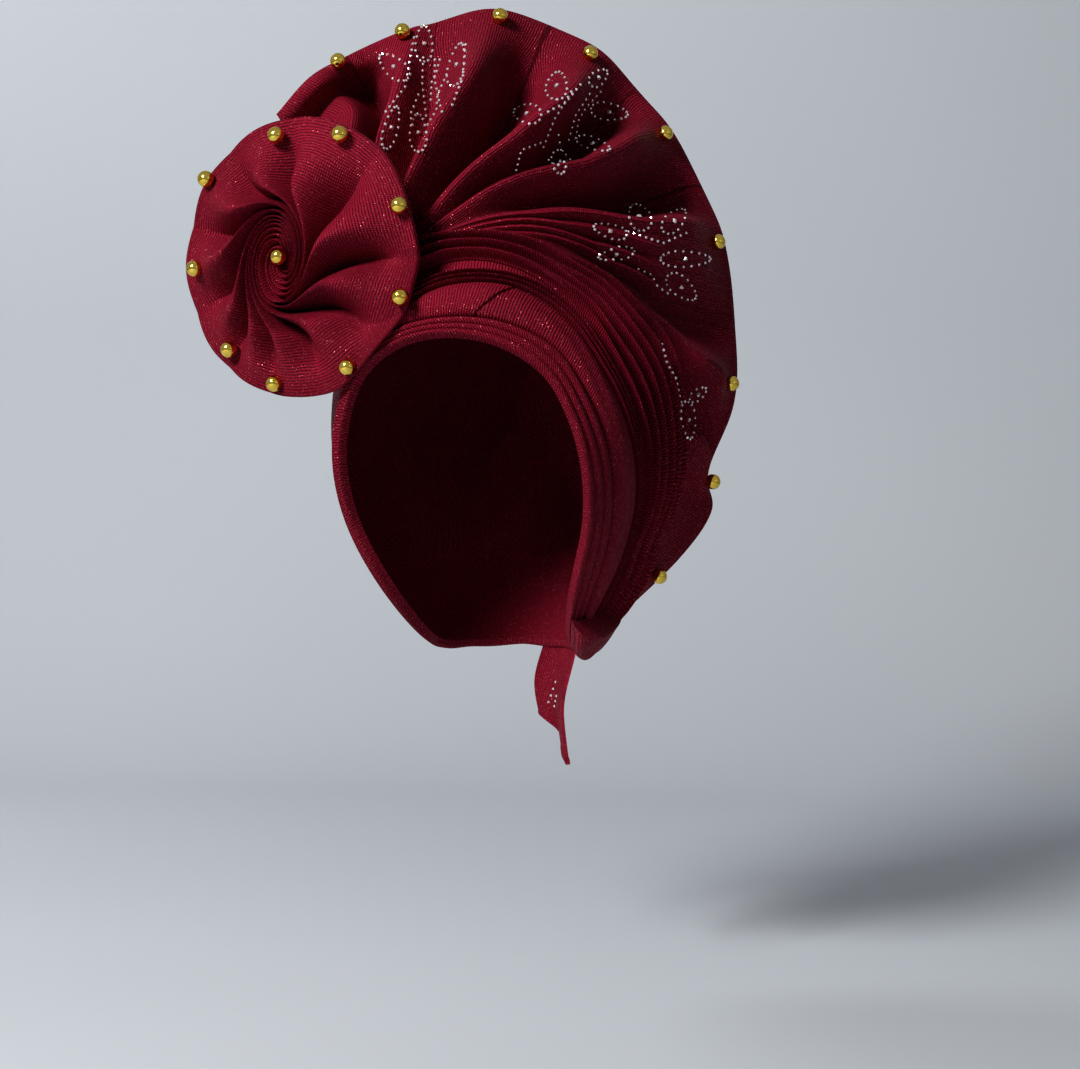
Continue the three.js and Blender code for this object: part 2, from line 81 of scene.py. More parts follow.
# Face edge of one half of the head from brow to nape, x y z, the other half mirrored
FACE_EDGE = np.array([
    (0, -90, 37), (24, -87, 33), (43, -78, 20), (53, -70, 0), (57, -60, -22), (55, -46, -46),
    (48, -31, -69), (41, -12, -88), (36, 12, -103), (32, 38, -108), (22, 58, -108), (0, 68, -106),
], float)
FACE_LOOP = np.concatenate([FACE_EDGE, FACE_EDGE[-2:0:-1] * (-1, 1, 1)])

# Sections of the wrap, a row for each turn along the face edge, in mm back from that edge;
# the last column is the lift off the head at the foot of the fan
WRAP_COLUMNS = ("turn", "band", "panel", "inner", "gully", "root", "lift")
WRAP = np.array([
    (-3, 9, 13, 15, 17, 56, 10),
    (-2, 9, 14, 18, 22, 56, 10),
    (-1, 8, 16, 24, 32, 57, 10),
    (0, 8.5, 25, 33, 41, 55.5, 10),
    (1, 11, 30, 38, 43, 61, 10),
    (2, 14, 31, 40, 42, 70, 11),
    (3, 16, 33, 42, 43, 85, 14),
    (4, 18, 37, 46, 47, 97, 19),
    (5, 18, 40, 48, 49, 85, 20),
    (6, 17, 36, 43, 44, 66, 20),
    (7, 13, 25, 31, 32, 46, 17),
    (8, 10, 17, 22, 23, 34, 15),
], float)
KNOT_TURN = 7.1
LAP_TURN = 0.75
LAP_SLANT = 0.55

# Rolls of the face band: their count, height, and the lift of the band at the face and at the panel
BAND_ROLLS = 3
BAND_ROLL_HEIGHT = 1.9
BAND_LIFTS = (3.4, 4.4)

# Panel: thickness at its edges, padding in its middle, and height of the soft wrinkles along it
PANEL_FOOT = 1.2
PANEL_PADDING = 3.6
PANEL_WRINKLE = 0.35

# Inner pleats: count, lift between them and stand of their crests
INNER_PLEATS = 3
INNER_FOOT = 3.6
INNER_STAND = 4.4

# Outer pleats beside the rosette, each of which parts into two further round as their strip widens
OUTER_PLEATS = 3
OUTER_PART_SPAN = (17, 34)
# Lift of their base at the face side, and how far it lies under the lift of the wrap at the fan side
OUTER_FOOT = 4.6
OUTER_BELOW_FAN = 2.6
# Gaps lie this far under the base, crests stand between these heights over the gaps,
# and the underside lies this far under the base
OUTER_SINK = 1.6
OUTER_STAND = (5.6, 7.4)
OUTER_DEPTH = 5.5
# Share of its own width that the crest of a pleat leans toward the face
PLEAT_LEAN = 0.6
# How far the ribs run along the wrap for each millimetre across it
RIB_SLANT = 0.8
PANEL_RIB_SLANT = 0.7
# Cloth across the cap from the face edge to its back, and across a strip of pleats
CAP_CLOTH = 190
PLEAT_CLOTH = 60

# Rim of the fan from behind the rosette over the top and down to the nape, x y z
FAN_RIM = np.array([
    (-106, -17, 157), (-81, -9, 183), (-46, 4, 202), (1, 21, 214), (46, 38, 196), (81, 54, 157),
    (105, 64, 109), (113, 69, 58), (112, 70, 16), (99, 66, -20), (101, 66, -40), (85, 61, -64),
    (55, 50, -94),
], float)
# Bow of the fan away from the head, half way from foot to rim
FAN_BOW = 4.0
# Foot of the fan: turns that it runs between, how far it sinks into the pleats, and its gap behind them
FAN_TURNS = (-1.5, KNOT_TURN - 0.35)
FAN_SINK = 6.0
FAN_GAP = 0.6
# Folds stand this much deeper half way out, and their crests are this much sharper at the foot and rim
FAN_DEPTH = 1.35
FOOT_SHARPNESS = 2.6
RIM_SHARPNESS = 1.9
# Toward the rim the folds wave this much toward the front, so that the rim keeps an even outline from there
RIM_FRONT_SHARE = 0.9

# Hollow under the rim behind the rosette: the rim rows that it fades between, its depth and the lip over it
HOLLOW_ROWS = (1.1, 2.0)
HOLLOW_DEPTH = 16.0
HOLLOW_LIP = 7.0

# Folds of the fan: the rim row that each one lies on at five places from foot to rim, its height,
# and the height of the small pleats that die away above the foot
FAN_STATIONS = (0.0, 0.12, 0.35, 0.65, 1.0)
FAN_FOLDS = np.array([
    (0.00, 0.00, 0.00, 0.00, 0.00, -2, 0),
    (0.50, 0.60, 0.75, 1.06, 0.62, 13, 0),
    (0.60, 0.72, 1.00, 1.44, 1.25, -24, 0),
    (0.70, 0.82, 1.08, 1.62, 2.12, 7, 0),
    (0.78, 0.95, 1.50, 2.08, 2.35, -11, 0),
    (0.85, 1.10, 2.00, 2.65, 2.85, 12, 0),
    (0.92, 1.35, 2.60, 3.22, 3.50, -19, 0),
    (1.00, 1.90, 3.20, 3.80, 4.05, 13, 0),
    (1.08, 2.22, 3.76, 4.25, 4.52, -17, 0),
    (1.15, 2.50, 4.15, 4.65, 5.00, 12, 1),
    (1.28, 3.10, 4.80, 5.28, 5.62, -15, -1),
    (1.40, 3.80, 5.33, 5.80, 6.15, 9, 2),
    (1.62, 3.95, 5.50, 6.00, 6.30, 7, -2),
    (1.78, 4.30, 5.72, 6.16, 6.42, 5, 3),
    (1.95, 4.60, 5.92, 6.30, 6.54, 4, -3),
    (2.15, 4.90, 6.10, 6.44, 6.65, 2, 3),
    (2.40, 5.20, 6.28, 6.57, 6.75, 0, -3),
    (2.75, 5.50, 6.45, 6.70, 6.85, -2, 3),
    (3.20, 5.80, 6.62, 6.82, 6.94, -4, -3),
    (4.90, 6.35, 6.95, 7.05, 7.10, -7, 0),
    (6.40, 7.10, 7.85, 7.88, 7.75, 8, 0),
    (7.70, 8.20, 8.60, 8.65, 8.60, -7, 0),
    (9.00, 9.10, 9.15, 9.15, 9.10, 6, 0),
    (10.0, 10.0, 10.1, 10.1, 10.1, -5, 0),
    (12.0, 12.0, 12.0, 12.0, 12.0, 0, 0),
], float)

# Rosette: place and facing of its disc, and the coil beside its middle
ROSETTE_MIDDLE = np.array([-75.0, -76.0, 78.0])
ROSETTE_FACING = math.radians(-17)
ROSETTE_TIP = math.radians(-2.5)
ROSETTE_RADIUS = 65.5
COIL_OFFSET = -6.0
COIL_OVAL_ACROSS = 0.83
COIL_OVAL_UP = 1.2
COIL_ROUND = 42.0
COIL_RADIUS = 18.0
COIL_TWIST = 100.0
COIL_RATE = 15.6
COIL_UNWIND = 5.0
COIL_EYE = 1.5
ROSETTE_DOME = 6.0
STEM_LENGTH = 26.0

# Folds of the rosette: angle of the crest at the rim in degrees, then its height
ROSETTE_FOLDS = np.array([
    (-58, 8), (-20, 9), (13, 12), (69, 9), (104, 7), (140, 9), (182, 10), (222, 7), (246, 6), (270, 7),
], float)

# Knot tab and free tail, in turns and millimetres
KNOT = {
    "start": 7.11, "end": 8.25, "near": 0.5, "far_top": 50, "far_foot": 24, "foot": 6.5, "depth": 12,
    "past_band": 13, "on_cap": 18,
}
TAIL = {
    "start": 8.75, "end": 10.5, "top": 4, "lift": 5.6, "length": 60, "slant": 22, "sway": 3,
    "hem_start": 0.945, "hem": 0.4,
}

# Stone flowers as seen from the front: middle of each flower right of and above the front point, in mm
FLOWERS = {
    "over_rosette": (-33.5, 170.0), "over_brow": (31.5, 154.0), "at_side": (79.0, 86.5),
    "at_ear": (98.0, 14.0), "on_tail": (30.0, -130.0),
}
# Petals of each flower: right, up, length, width and lean in degrees from the flower's middle
PETALS = {
    "over_rosette": [(-15.5, 11.5, 18, 11, 140), (-0.5, 23, 18, 10, 90), (16, 12.5, 22, 9, 78),
                     (-3.5, -21.5, 19, 10, 92), (-17, -19, 22, 8, 75)],
    "over_brow": [(1, 18, 14, 12, 80), (21.5, 22, 11, 8, 40), (27, 5, 19, 10, -10), (19, -11, 18, 7, -18),
                  (2, -20, 12, 9, -80), (-14, 4, 14, 11, 175)],
    "at_side": [(-5.5, 20, 14, 12, 120), (12, 18, 15, 10, 45), (17.5, -1, 25, 9, 0),
                (15.5, -15, 18, 11, -40), (-20, 13, 17, 8, 165), (-17, 1.5, 18, 7, 190)],
    "at_ear": [(5, 4, 10, 6, 40), (0, -9, 19, 8, -85)],
    "on_tail": [],
}
# Strings of stones between the petals: a few places right and up from the flower's middle
STRINGS = {
    "over_rosette": [[(-5.5, 26), (-10, 1.5), (-19.5, -11)], [(-1, 16), (-1.5, 3), (0.5, -13)],
                     [(5, 15), (5, 5), (8.5, -11)], [(7.5, 15), (6, 9), (3.5, 4), (3, -5)],
                     [(11, 7.5), (6.5, -2.5), (6, -10), (1.5, -17.5)],
                     [(-3.5, -2.5), (-7.5, -12.5), (-6.5, -17.5)], [(20.5, 22.5), (19, 6), (13.5, -7.5)]],
    "over_brow": [[(8, 15), (-0.5, 1.5), (-6, -12.5)], [(17, 14), (10, 3.5), (6.5, -9)],
                  [(-7.5, -10.5), (-17, -14), (-19.5, -24)], [(12.5, 18.5), (5, 9.5), (-3.5, 5)],
                  [(22.5, 15), (15, 7), (11.5, 1), (10, -8)], [(-3.5, -19), (0.5, -22), (7.5, -19)],
                  [(1.5, -6.5), (2.5, -14)]],
    "at_side": [[(-11, 12.5), (6.5, 7), (18, 12)], [(-6, -6), (0, -8.5), (3.5, -14.5), (8.5, -18)]],
    "at_ear": [[(-13, 29), (-10.5, 19.5), (-6, 11.5), (-3.5, 0)]],
    "on_tail": [[(2, 4), (0, -2), (-1.5, -6)], [(2.5, -3), (1.5, -8)]],
}
STONE_CARRIERS = ("fan_cloth", "outer_pleats_cloth", "tail_cloth")

# Place and directions of the front view
FRONT_AZIMUTH = math.radians(12)
FRONT_DISTANCE = 1000.0
FRONT_OUT = np.array([math.sin(FRONT_AZIMUTH), -math.cos(FRONT_AZIMUTH), 0.0])
FRONT_RIGHT = np.array([math.cos(FRONT_AZIMUTH), math.sin(FRONT_AZIMUTH), 0.0])
FRONT_ASIDE = 24.0
FRONT_LEVEL = -52.25
FRONT_EYE = FRONT_OUT * FRONT_DISTANCE + FRONT_RIGHT * FRONT_ASIDE + np.array([0, 0, FRONT_LEVEL])


def smooth(low, high, a):
    f = np.clip((a - low) / (high - low), 0, 1)
    return f * f * (3 - 2 * f)


def mix(a, b, f):
    return a + (b - a) * f


def unit(v):
    return v / np.maximum(np.linalg.norm(v, axis=-1, keepdims=True), 1e-9)


def read_rows(table, at, ring=False):
    """Rows of a table read smoothly at places between them."""
    count = len(table)
    i = np.floor(at).astype(int)
    if not ring:
        i = np.clip(i, 0, count - 2)
    f = (at - i)[..., None]

    def row(k):
        return table[k % count] if ring else table[np.clip(k, 0, count - 1)]

    a, b, c, d = row(i - 1), row(i), row(i + 1), row(i + 2)
    return 0.5 * (2 * b + (c - a) * f + (2 * a - 5 * b + 4 * c - d) * f**2 + (3 * b - a - 3 * c + d) * f**3)


def wrap_at(column, turn):
    k = WRAP_COLUMNS.index(column)
    turn = np.clip(turn, WRAP[0, 0], WRAP[-1, 0])
    return read_rows(WRAP[:, k:k + 1], turn - WRAP[0, 0])[..., 0]


def form_level(p):
    """Below one inside the head form, one on it."""
    drop = (np.minimum(p[..., 2], 0) / HEAD["reach"]) ** 2
    half_width = np.maximum(HEAD["half_width"] - HEAD["narrow"] * drop, 5)
    half_length = np.maximum(HEAD["half_length"] - HEAD["shorten"] * drop, 5)
    across = p[..., 0] / half_width
    along = (p[..., 1] - HEAD["set_back"] * drop) / half_length
    above = np.maximum(p[..., 2], 0) / HEAD["crown"]
    return np.sqrt(across**2 + along**2 + above**2)


def form_radius(direction):
    low = np.zeros(direction.shape[:-1])
    high = np.full(direction.shape[:-1], 320.0)
    for _ in range(30):
        mid = (low + high) / 2
        inside = form_level(direction * mid[..., None] + FORM_CENTRE) < 1
        low = np.where(inside, mid, low)
        high = np.where(inside, high, mid)
    return low


def over_form(p, lift):
    direction = unit(p - FORM_CENTRE)
    return direction * (form_radius(direction) + lift)[..., None] + FORM_CENTRE


def clear_of_head(p, lift):
    out = p - FORM_CENTRE
    far = np.linalg.norm(out, axis=-1)
    direction = out / far[..., None]
    return direction * np.maximum(far, form_radius(direction) + lift)[..., None] + FORM_CENTRE


def run_of(points):
    """Millimetres along each line of a grid, from its first column."""
    steps = np.linalg.norm(np.diff(points, axis=1), axis=-1)
    return np.concatenate([np.zeros((len(points), 1)), np.cumsum(steps, axis=1)], axis=1)


def length_of(points):
    """Millimetres down each column of a grid, from its first line."""
    return run_of(points.swapaxes(0, 1)).T


LINE_STEPS = 40
LINE_TURNS = 440
LINE_LIFT = 4.0


def measure_lines():
    """Lengths over the head from the face edge to the back pole, for even turns."""
    edge = read_rows(FACE_LOOP, np.arange(LINE_TURNS + 1) * len(FACE_LOOP) / LINE_TURNS, ring=True)
    share = np.linspace(0, 1, LINE_STEPS + 1)[None, :, None]
    lift = np.full((LINE_TURNS + 1, LINE_STEPS + 1), LINE_LIFT)
    return run_of(over_form(mix(edge[:, None, :], BACK_POLE, share), lift))


LINE_LENGTHS = measure_lines()


def on_head(turn, distance, lift):
    """A place on the head: turn along the face edge, distance back from it, lift off the form."""
    turn, distance, lift = np.broadcast_arrays(turn, distance, lift)
    at = (turn % len(FACE_LOOP)) * LINE_TURNS / len(FACE_LOOP)
    i = np.clip(np.floor(at).astype(int), 0, LINE_TURNS - 1)
    lengths = mix(LINE_LENGTHS[i], LINE_LENGTHS[i + 1], (at - i)[..., None])
    k = np.clip((lengths < distance[..., None]).sum(axis=-1) - 1, 0, LINE_STEPS - 1)[..., None]
    below = np.take_along_axis(lengths, k, -1)[..., 0]
    above = np.take_along_axis(lengths, k + 1, -1)[..., 0]
    share = (k[..., 0] + (distance - below) / (above - below)) / LINE_STEPS
    return over_form(mix(read_rows(FACE_LOOP, turn, ring=True), BACK_POLE, share[..., None]), lift)


def normals_of(points, ring=False):
    """Unit normals of a grid of points."""
    across = np.roll(points, -1, axis=1) - np.roll(points, 1, axis=1)
    if not ring:
        across[:, 0] = points[:, 1] - points[:, 0]
        across[:, -1] = points[:, -1] - points[:, -2]
    return unit(np.cross(across, np.gradient(points, axis=0)))


# Turned hem along a free edge: what it adds to each side, where it starts as a share of the way out,
# and the share that it rises over
HEM_THICKNESS = 0.45
HEM_START = 0.955
HEM_STEP = 0.01


def hem_of(share, start=HEM_START, thickness=HEM_THICKNESS):
    return thickness * smooth(start, start + HEM_STEP, share)


def two_sides(middle, half):
    """Both faces of a cloth, half its thickness either side of its middle surface."""
    away = normals_of(middle) * half[..., None]
    return middle + away, middle - away


def rolls(q, count):
    """Rounded rolls side by side, nought at each seam and one on each crest."""
    return np.sqrt(np.abs(np.sin(np.pi * q * count)))


def edges(q, count):
    """Pleat edges side by side: narrow round crests of one with deep gaps of nought between."""
    return (0.5 - 0.5 * np.cos(2 * np.pi * q * count)) ** 1.2


def fold_profile(f):
    """Height from a valley at nought to a crest at one: creased in the valley, round on the crest."""
    return mix(0.5 - 0.5 * np.cos(np.pi * f), np.sin(np.pi * f / 2), 0.75)


def grid(columns, rows):
    return np.meshgrid(np.linspace(0, 1, columns + 1), np.linspace(0, 1, rows + 1))


def sheet_corners(columns, rows, ring):
    """Corners of a closed sheet's faces as side, column and row."""
    i, j = (a.ravel() for a in np.meshgrid(np.arange(columns), np.arange(rows)))
    edge_i, edge_j = np.arange(columns), np.arange(rows)

    def face(*corners):
        return np.stack([np.stack(np.broadcast_arrays(*corner), axis=-1) for corner in corners], axis=1)

    faces = [
        face((0, i, j), (0, i + 1, j), (0, i + 1, j + 1), (0, i, j + 1)),
        face((1, i, j), (1, i, j + 1), (1, i + 1, j + 1), (1, i + 1, j)),
        face((0, edge_i + 1, 0), (0, edge_i, 0), (1, edge_i, 0), (1, edge_i + 1, 0)),
        face((0, edge_i, rows), (0, edge_i + 1, rows), (1, edge_i + 1, rows), (1, edge_i, rows)),
    ]
    if not ring:
        faces.append(face((0, 0, edge_j), (0, 0, edge_j + 1), (1, 0, edge_j + 1), (1, 0, edge_j)))
        far = columns
        faces.append(face((0, far, edge_j + 1), (0, far, edge_j), (1, far, edge_j), (1, far, edge_j + 1)))
    return np.concatenate(faces)


SHARP_ANGLE = math.radians(62)


def make_sheet(name, outer, inner, cloth, material, ring=False):
    """A closed sheet between two grids of points; the UV is the place in the flat cloth in metres."""
    rows, columns = outer.shape[0] - 1, outer.shape[1] - 1
    wide = columns if ring else columns + 1
    corners = sheet_corners(columns, rows, ring)
    points = np.concatenate([side[:, :wide].reshape(-1, 3) for side in (outer, inner)]) * MM
    faces = corners[..., 0] * wide * (rows + 1) + corners[..., 2] * wide + corners[..., 1] % wide
    a, b, c, d = (points[faces[:, k]] for k in range(4))
    volume = (np.einsum("ij,ij->i", a, np.cross(b, c)) + np.einsum("ij,ij->i", a, np.cross(c, d))).sum()
    if volume < 0:
        faces, corners = faces[:, ::-1], corners[:, ::-1]
    mesh = bpy.data.meshes.new(name)
    mesh.from_pydata(points.tolist(), [], faces.tolist())
    places = cloth[corners[..., 2], corners[..., 1]] * MM
    mesh.uv_layers.new(name="cloth").data.foreach_set("uv", places.reshape(-1))
    weld(mesh)
    mesh.polygons.foreach_set("use_smooth", np.ones(len(mesh.polygons), bool))
    mesh.set_sharp_from_angle(angle=SHARP_ANGLE)
    mesh.materials.append(material)
    piece = bpy.data.objects.new(name, mesh)
    bpy.context.scene.collection.objects.link(piece)
    return piece


def weld(mesh):
    """Joins points that lie on each other, as at the eye of the coil."""
    work = bmesh.new()
    work.from_mesh(mesh)
    bmesh.ops.remove_doubles(work, verts=work.verts, dist=1e-6)
    bmesh.ops.dissolve_degenerate(work, edges=work.edges, dist=1e-7)
    work.to_mesh(mesh)
    work.free()


def join_frame(piece, slot, *nodes):
    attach(piece, "root")
    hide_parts(*nodes)


# Materials

def colour(code):
    """Linear colour of an sRGB hex code."""
    parts = [int(code[k:k + 2], 16) / 255 for k in (1, 3, 5)]
    return tuple(c / 12.92 if c <= 0.04045 else ((c + 0.055) / 1.055) ** 2.4 for c in parts) + (1.0,)


def add_node(tree, kind, inputs=None, **settings):
    """Adds a node, sets its fields, and fills or links its inputs."""
    node = tree.nodes.new(kind)
    for key, value in settings.items():
        setattr(node, key, value)
    for key, value in (inputs or {}).items():
        if isinstance(value, bpy.types.NodeSocket):
            tree.links.new(value, node.inputs[key])
        else:
            node.inputs[key].default_value = value
    return node


def cloud(tree, spot, scale, detail):
    """Soft noise from nought to one."""
    noise = add_node(tree, "ShaderNodeTexNoise", {"Vector": spot, "Scale": scale, "Detail": detail})
    return noise.outputs["Fac"]


def math_node(tree, operation, a, b=0.0, c=0.0):
    return add_node(tree, "ShaderNodeMath", {0: a, 1: b, 2: c}, operation=operation).outputs[0]


def mix_colour(tree, factor, a, b):
    node = add_node(tree, "ShaderNodeMix", data_type="RGBA")
    for key, value in (("Factor_Float", factor), ("A_Color", a), ("B_Color", b)):
        socket = next(s for s in node.inputs if s.identifier == key)
        if isinstance(value, bpy.types.NodeSocket):
            tree.links.new(value, socket)
        else:
            socket.default_value = value
    return next(s for s in node.outputs if s.identifier == "Result_Color")


def new_material(name):
    material = bpy.data.materials.new(name)
    material.use_nodes = True
    tree = material.node_tree
    surface = next(n for n in tree.nodes if n.type == "BSDF_PRINCIPLED")
    return material, tree, surface


# Corded burgundy cloth: raised ribs with fine slanted picks, woven with specks of glitter thread; its
# colour is painted darker in the grooves between the ribs as painted shade
def ribbed_cloth(name, settings):
    material, tree, surface = new_material(name)
    flat = add_node(tree, "ShaderNodeUVMap", uv_map="cloth")
    place = add_node(tree, "ShaderNodeSeparateXYZ", {0: flat.outputs[0]}).outputs
    spot = add_node(tree, "ShaderNodeTexCoord").outputs["Object"]
    drift = cloud(tree, spot, 260.0, 1.0)
    even = math_node(tree, "MULTIPLY", place[0], math.pi / settings.rib_pitch)
    across = math_node(tree, "MULTIPLY_ADD", drift, 2.2, even)
    rib = math_node(tree, "ABSOLUTE", math_node(tree, "SINE", across))
    slant = math_node(tree, "MULTIPLY_ADD", place[1], 2 * math.pi / settings.pick_pitch, across)
    pick = math_node(tree, "MULTIPLY_ADD", math_node(tree, "SINE", slant), 0.5, 0.5)
    height = math_node(tree, "MULTIPLY_ADD", pick, 0.4, math_node(tree, "MULTIPLY", rib, 0.9))

    patch = cloud(tree, spot, 22.0, 3.0)
    fine = cloud(tree, spot, 1400.0, 1.0)
    # Painted shade: the cloth colour runs from a near-black shade colour in the rib grooves to the dye on
    # the rib crests, with random patches and a fine speckle of tone on top
    shade = math_node(tree, "MULTIPLY_ADD", patch, 0.4, math_node(tree, "MULTIPLY", height, 0.7))
    shade = math_node(tree, "MULTIPLY_ADD", fine, 0.6, math_node(tree, "SUBTRACT", shade, 0.5))
    cloth_colour = mix_colour(tree, shade, colour("#2b040e"), tuple(settings.cloth_colour) + (1.0,))

    speck = add_node(tree, "ShaderNodeTexVoronoi", {"Vector": spot, "Scale": 1 / settings.speck_spacing})
    chance = add_node(tree, "ShaderNodeSeparateColor", {0: speck.outputs["Color"]}).outputs[0]
    near = math_node(tree, "LESS_THAN", speck.outputs["Distance"], 0.30)
    chosen = math_node(tree, "GREATER_THAN", chance, 1 - settings.speck_share)
    sparkle = math_node(tree, "MULTIPLY", chosen, near)
    tree.links.new(mix_colour(tree, sparkle, cloth_colour, colour("#d9716f")), surface.inputs["Base Color"])
    tree.links.new(math_node(tree, "MULTIPLY", sparkle, 0.7), surface.inputs["Metallic"])
    tree.links.new(math_node(tree, "MULTIPLY_ADD", sparkle, -0.25, 0.56), surface.inputs["Roughness"])
    surface.inputs["Specular IOR Level"].default_value = 0.06
    surface.inputs["Sheen Weight"].default_value = 0.01
    surface.inputs["Sheen Roughness"].default_value = 0.4
    surface.inputs["Sheen Tint"].default_value = colour("#c8475e")

    tilt = math_node(tree, "MULTIPLY", chance, math_node(tree, "MULTIPLY", sparkle, 0.8))
    relief = math_node(tree, "ADD", height, tilt)
    bump = add_node(tree, "ShaderNodeBump", {"Height": relief, "Strength": 0.8, "Distance": 0.0005})
    tree.links.new(bump.outputs[0], surface.inputs["Normal"])
    return material


# Polished gold-plated beads: bright yellow metal with faint handling marks
def polished_gold(name, settings):
    material, tree, surface = new_material(name)
    spot = add_node(tree, "ShaderNodeTexCoord").outputs["Object"]
    marks = cloud(tree, spot, 500.0, 4.0)
    tint = mix_colour(tree, marks, colour("#d8ab22"), tuple(settings.gold) + (1.0,))
    tree.links.new(tint, surface.inputs["Base Color"])
    tree.links.new(math_node(tree, "MULTIPLY_ADD", marks, 0.08, 0.08), surface.inputs["Roughness"])
    surface.inputs["Metallic"].default_value = 1.0
    return material


# Foil-backed glass stones: bright silver facets, with a faint pink reflection of the cloth painted into
# their colour
def foiled_glass(name):
    material, tree, surface = new_material(name)
    spot = add_node(tree, "ShaderNodeTexCoord").outputs["Object"]
    tone = cloud(tree, spot, 320.0, 0.0)
    # Painted reflection: the colour runs at random from white to the pink that the cloth casts in the
    # facets
    tint = mix_colour(tree, tone, colour("#ffffff"), colour("#e2c8ce"))
    tree.links.new(tint, surface.inputs["Base Color"])
    tree.links.new(math_node(tree, "MULTIPLY_ADD", tone, 0.12, 0.05), surface.inputs["Roughness"])
    surface.inputs["Metallic"].default_value = 0.6
    surface.inputs["Coat Weight"].default_value = 0.6
    surface.inputs["Coat Roughness"].default_value = 0.03
    return material


# Pale matt paper sweep behind and under the piece
def pale_paper(name):
    material, tree, surface = new_material(name)
    spot = add_node(tree, "ShaderNodeTexCoord").outputs["Object"]
    tone = cloud(tree, spot, 1.2, 2.0)
    tint = mix_colour(tree, tone, colour("#babec3"), colour("#c4c8cc"))
    tree.links.new(tint, surface.inputs["Base Color"])
    surface.inputs["Roughness"].default_value = 0.85
    return material


def finish_named(name, maker, *args):
    """The material of this name, made the first time it is asked for."""
    return bpy.data.materials.get(name) or maker(name, *args)


def cloth_finish(settings):
    return finish_named("ribbed burgundy cloth", ribbed_cloth, settings)


# Wrap

def build_cap(material):
    u, v = grid(*CAP_GRID)
    edge = read_rows(FACE_LOOP, u * len(FACE_LOOP), ring=True)
    line = mix(edge, BACK_POLE, (v**1.1)[..., None])
    outer = over_form(line, np.full(u.shape, CAP_WALL))
    inner = over_form(line, np.zeros(u.shape))
    cloth = np.stack([run_of(outer), np.broadcast_to(v * CAP_CLOTH, u.shape)], axis=-1)
    return make_sheet("cap_cloth", outer, inner, cloth, material, ring=True)


def build_band(material):
    u, v = grid(*BAND_GRID)
    turn = u * len(FACE_LOOP)
    signed = np.where(turn > len(FACE_LOOP) / 2, turn - len(FACE_LOOP), turn)
    width = wrap_at("band", signed) - 0.8
    crest = rolls(v**0.9, BAND_ROLLS)
    lift = mix(*BAND_LIFTS, v) + BAND_ROLL_HEIGHT * crest
    outer = on_head(turn, width * v, lift)
    inner = on_head(turn, width * v, np.full(u.shape, CAP_WALL + 0.1))
    middle = run_of(outer)[len(outer) // 2]
    cloth = np.stack([middle + RIB_SLANT * v * width, v * width * 1.4], axis=-1)
    return make_sheet("face_band_cloth", outer, inner, cloth, material, ring=True)


def build_panel(name, start, end, columns, lap, material):
    """A smooth padded length of the panel; lap is how far its far end stands up over its neighbour."""
    u, v = grid(columns, PANEL_ROWS)
    turn = mix(start(v), end(v), u)
    low, high = wrap_at("band", turn) + 0.2, wrap_at("panel", turn) - 0.2
    bulge = np.sqrt(np.maximum(0, 1 - (2 * v - 1) ** 2))
    within = smooth(0.1, 0.4, v) * (1 - smooth(0.6, 0.9, v))
    wrinkle = PANEL_WRINKLE * np.sin(2 * np.pi * (1.7 * v + 0.35 * turn)) * within
    lapped = lap * smooth(0.75, 0.97, u) * bulge
    lift = BAND_FOOT + PANEL_FOOT + PANEL_PADDING * bulge + wrinkle + lapped
    distance = mix(low, high, v)
    outer = on_head(turn, distance, lift)
    inner = on_head(turn, distance, np.full(u.shape, BAND_FOOT))
    middle = run_of(outer)[len(outer) // 2]
    cloth = np.stack([middle + PANEL_RIB_SLANT * (high - low) * v, (high - low) * v * 1.2], axis=-1)
    return make_sheet(name, outer, inner, cloth, material)


def lap_line(v):
    return LAP_TURN + LAP_SLANT * (v - 0.5)


def build_pleats(name, start, near, far, gaps, crest, lift, floor, columns, rows, material):
    """A strip of side-by-side pleats between two columns of the wrap, each leaning toward the face."""
    u, v = grid(columns, rows)
    turn = mix(start, KNOT_TURN, u)
    low, high = wrap_at(near, turn) + gaps[0], wrap_at(far, turn) - gaps[1]
    distance = mix(low, high, v)
    stand, width = crest(turn, v)
    leaning = distance - PLEAT_LEAN * width * stand * smooth(0, 0.1, v)
    outer = on_head(turn, leaning, lift(turn, v))
    inner = on_head(turn, distance, floor(turn, v))
    middle = run_of(outer)[len(outer) // 2]
    cloth = np.stack([middle + RIB_SLANT * distance, np.broadcast_to(v * PLEAT_CLOTH, u.shape)], axis=-1)
    return make_sheet(name, outer, inner, cloth, material)


def inner_crest(turn, v):
    """Stand of the inner pleats from nought to one, and the width of each in mm."""
    span = wrap_at("inner", turn) - wrap_at("panel", turn)
    return edges(v + 0.03 * np.sin(3.1 * turn), INNER_PLEATS), span / INNER_PLEATS


def inner_lift(turn, v):
    return INNER_FOOT + INNER_STAND * inner_crest(turn, v)[0]


def outer_base(turn, v):
    return mix(OUTER_FOOT, wrap_at("lift", turn) - OUTER_BELOW_FAN, v**1.2)


def outer_crest(turn, v):
    """Stand of the outer pleats from nought to one, and the width of each in mm."""
    uneven = v + 0.012 * np.sin(2.3 * turn + 9 * v) * np.sin(np.pi * v)
    span = wrap_at("root", turn) - wrap_at("gully", turn)
    parted = smooth(*OUTER_PART_SPAN, span)
    stand = mix(edges(uneven, OUTER_PLEATS), edges(uneven, 2 * OUTER_PLEATS), parted)
    return stand, span / (OUTER_PLEATS * (1 + parted))


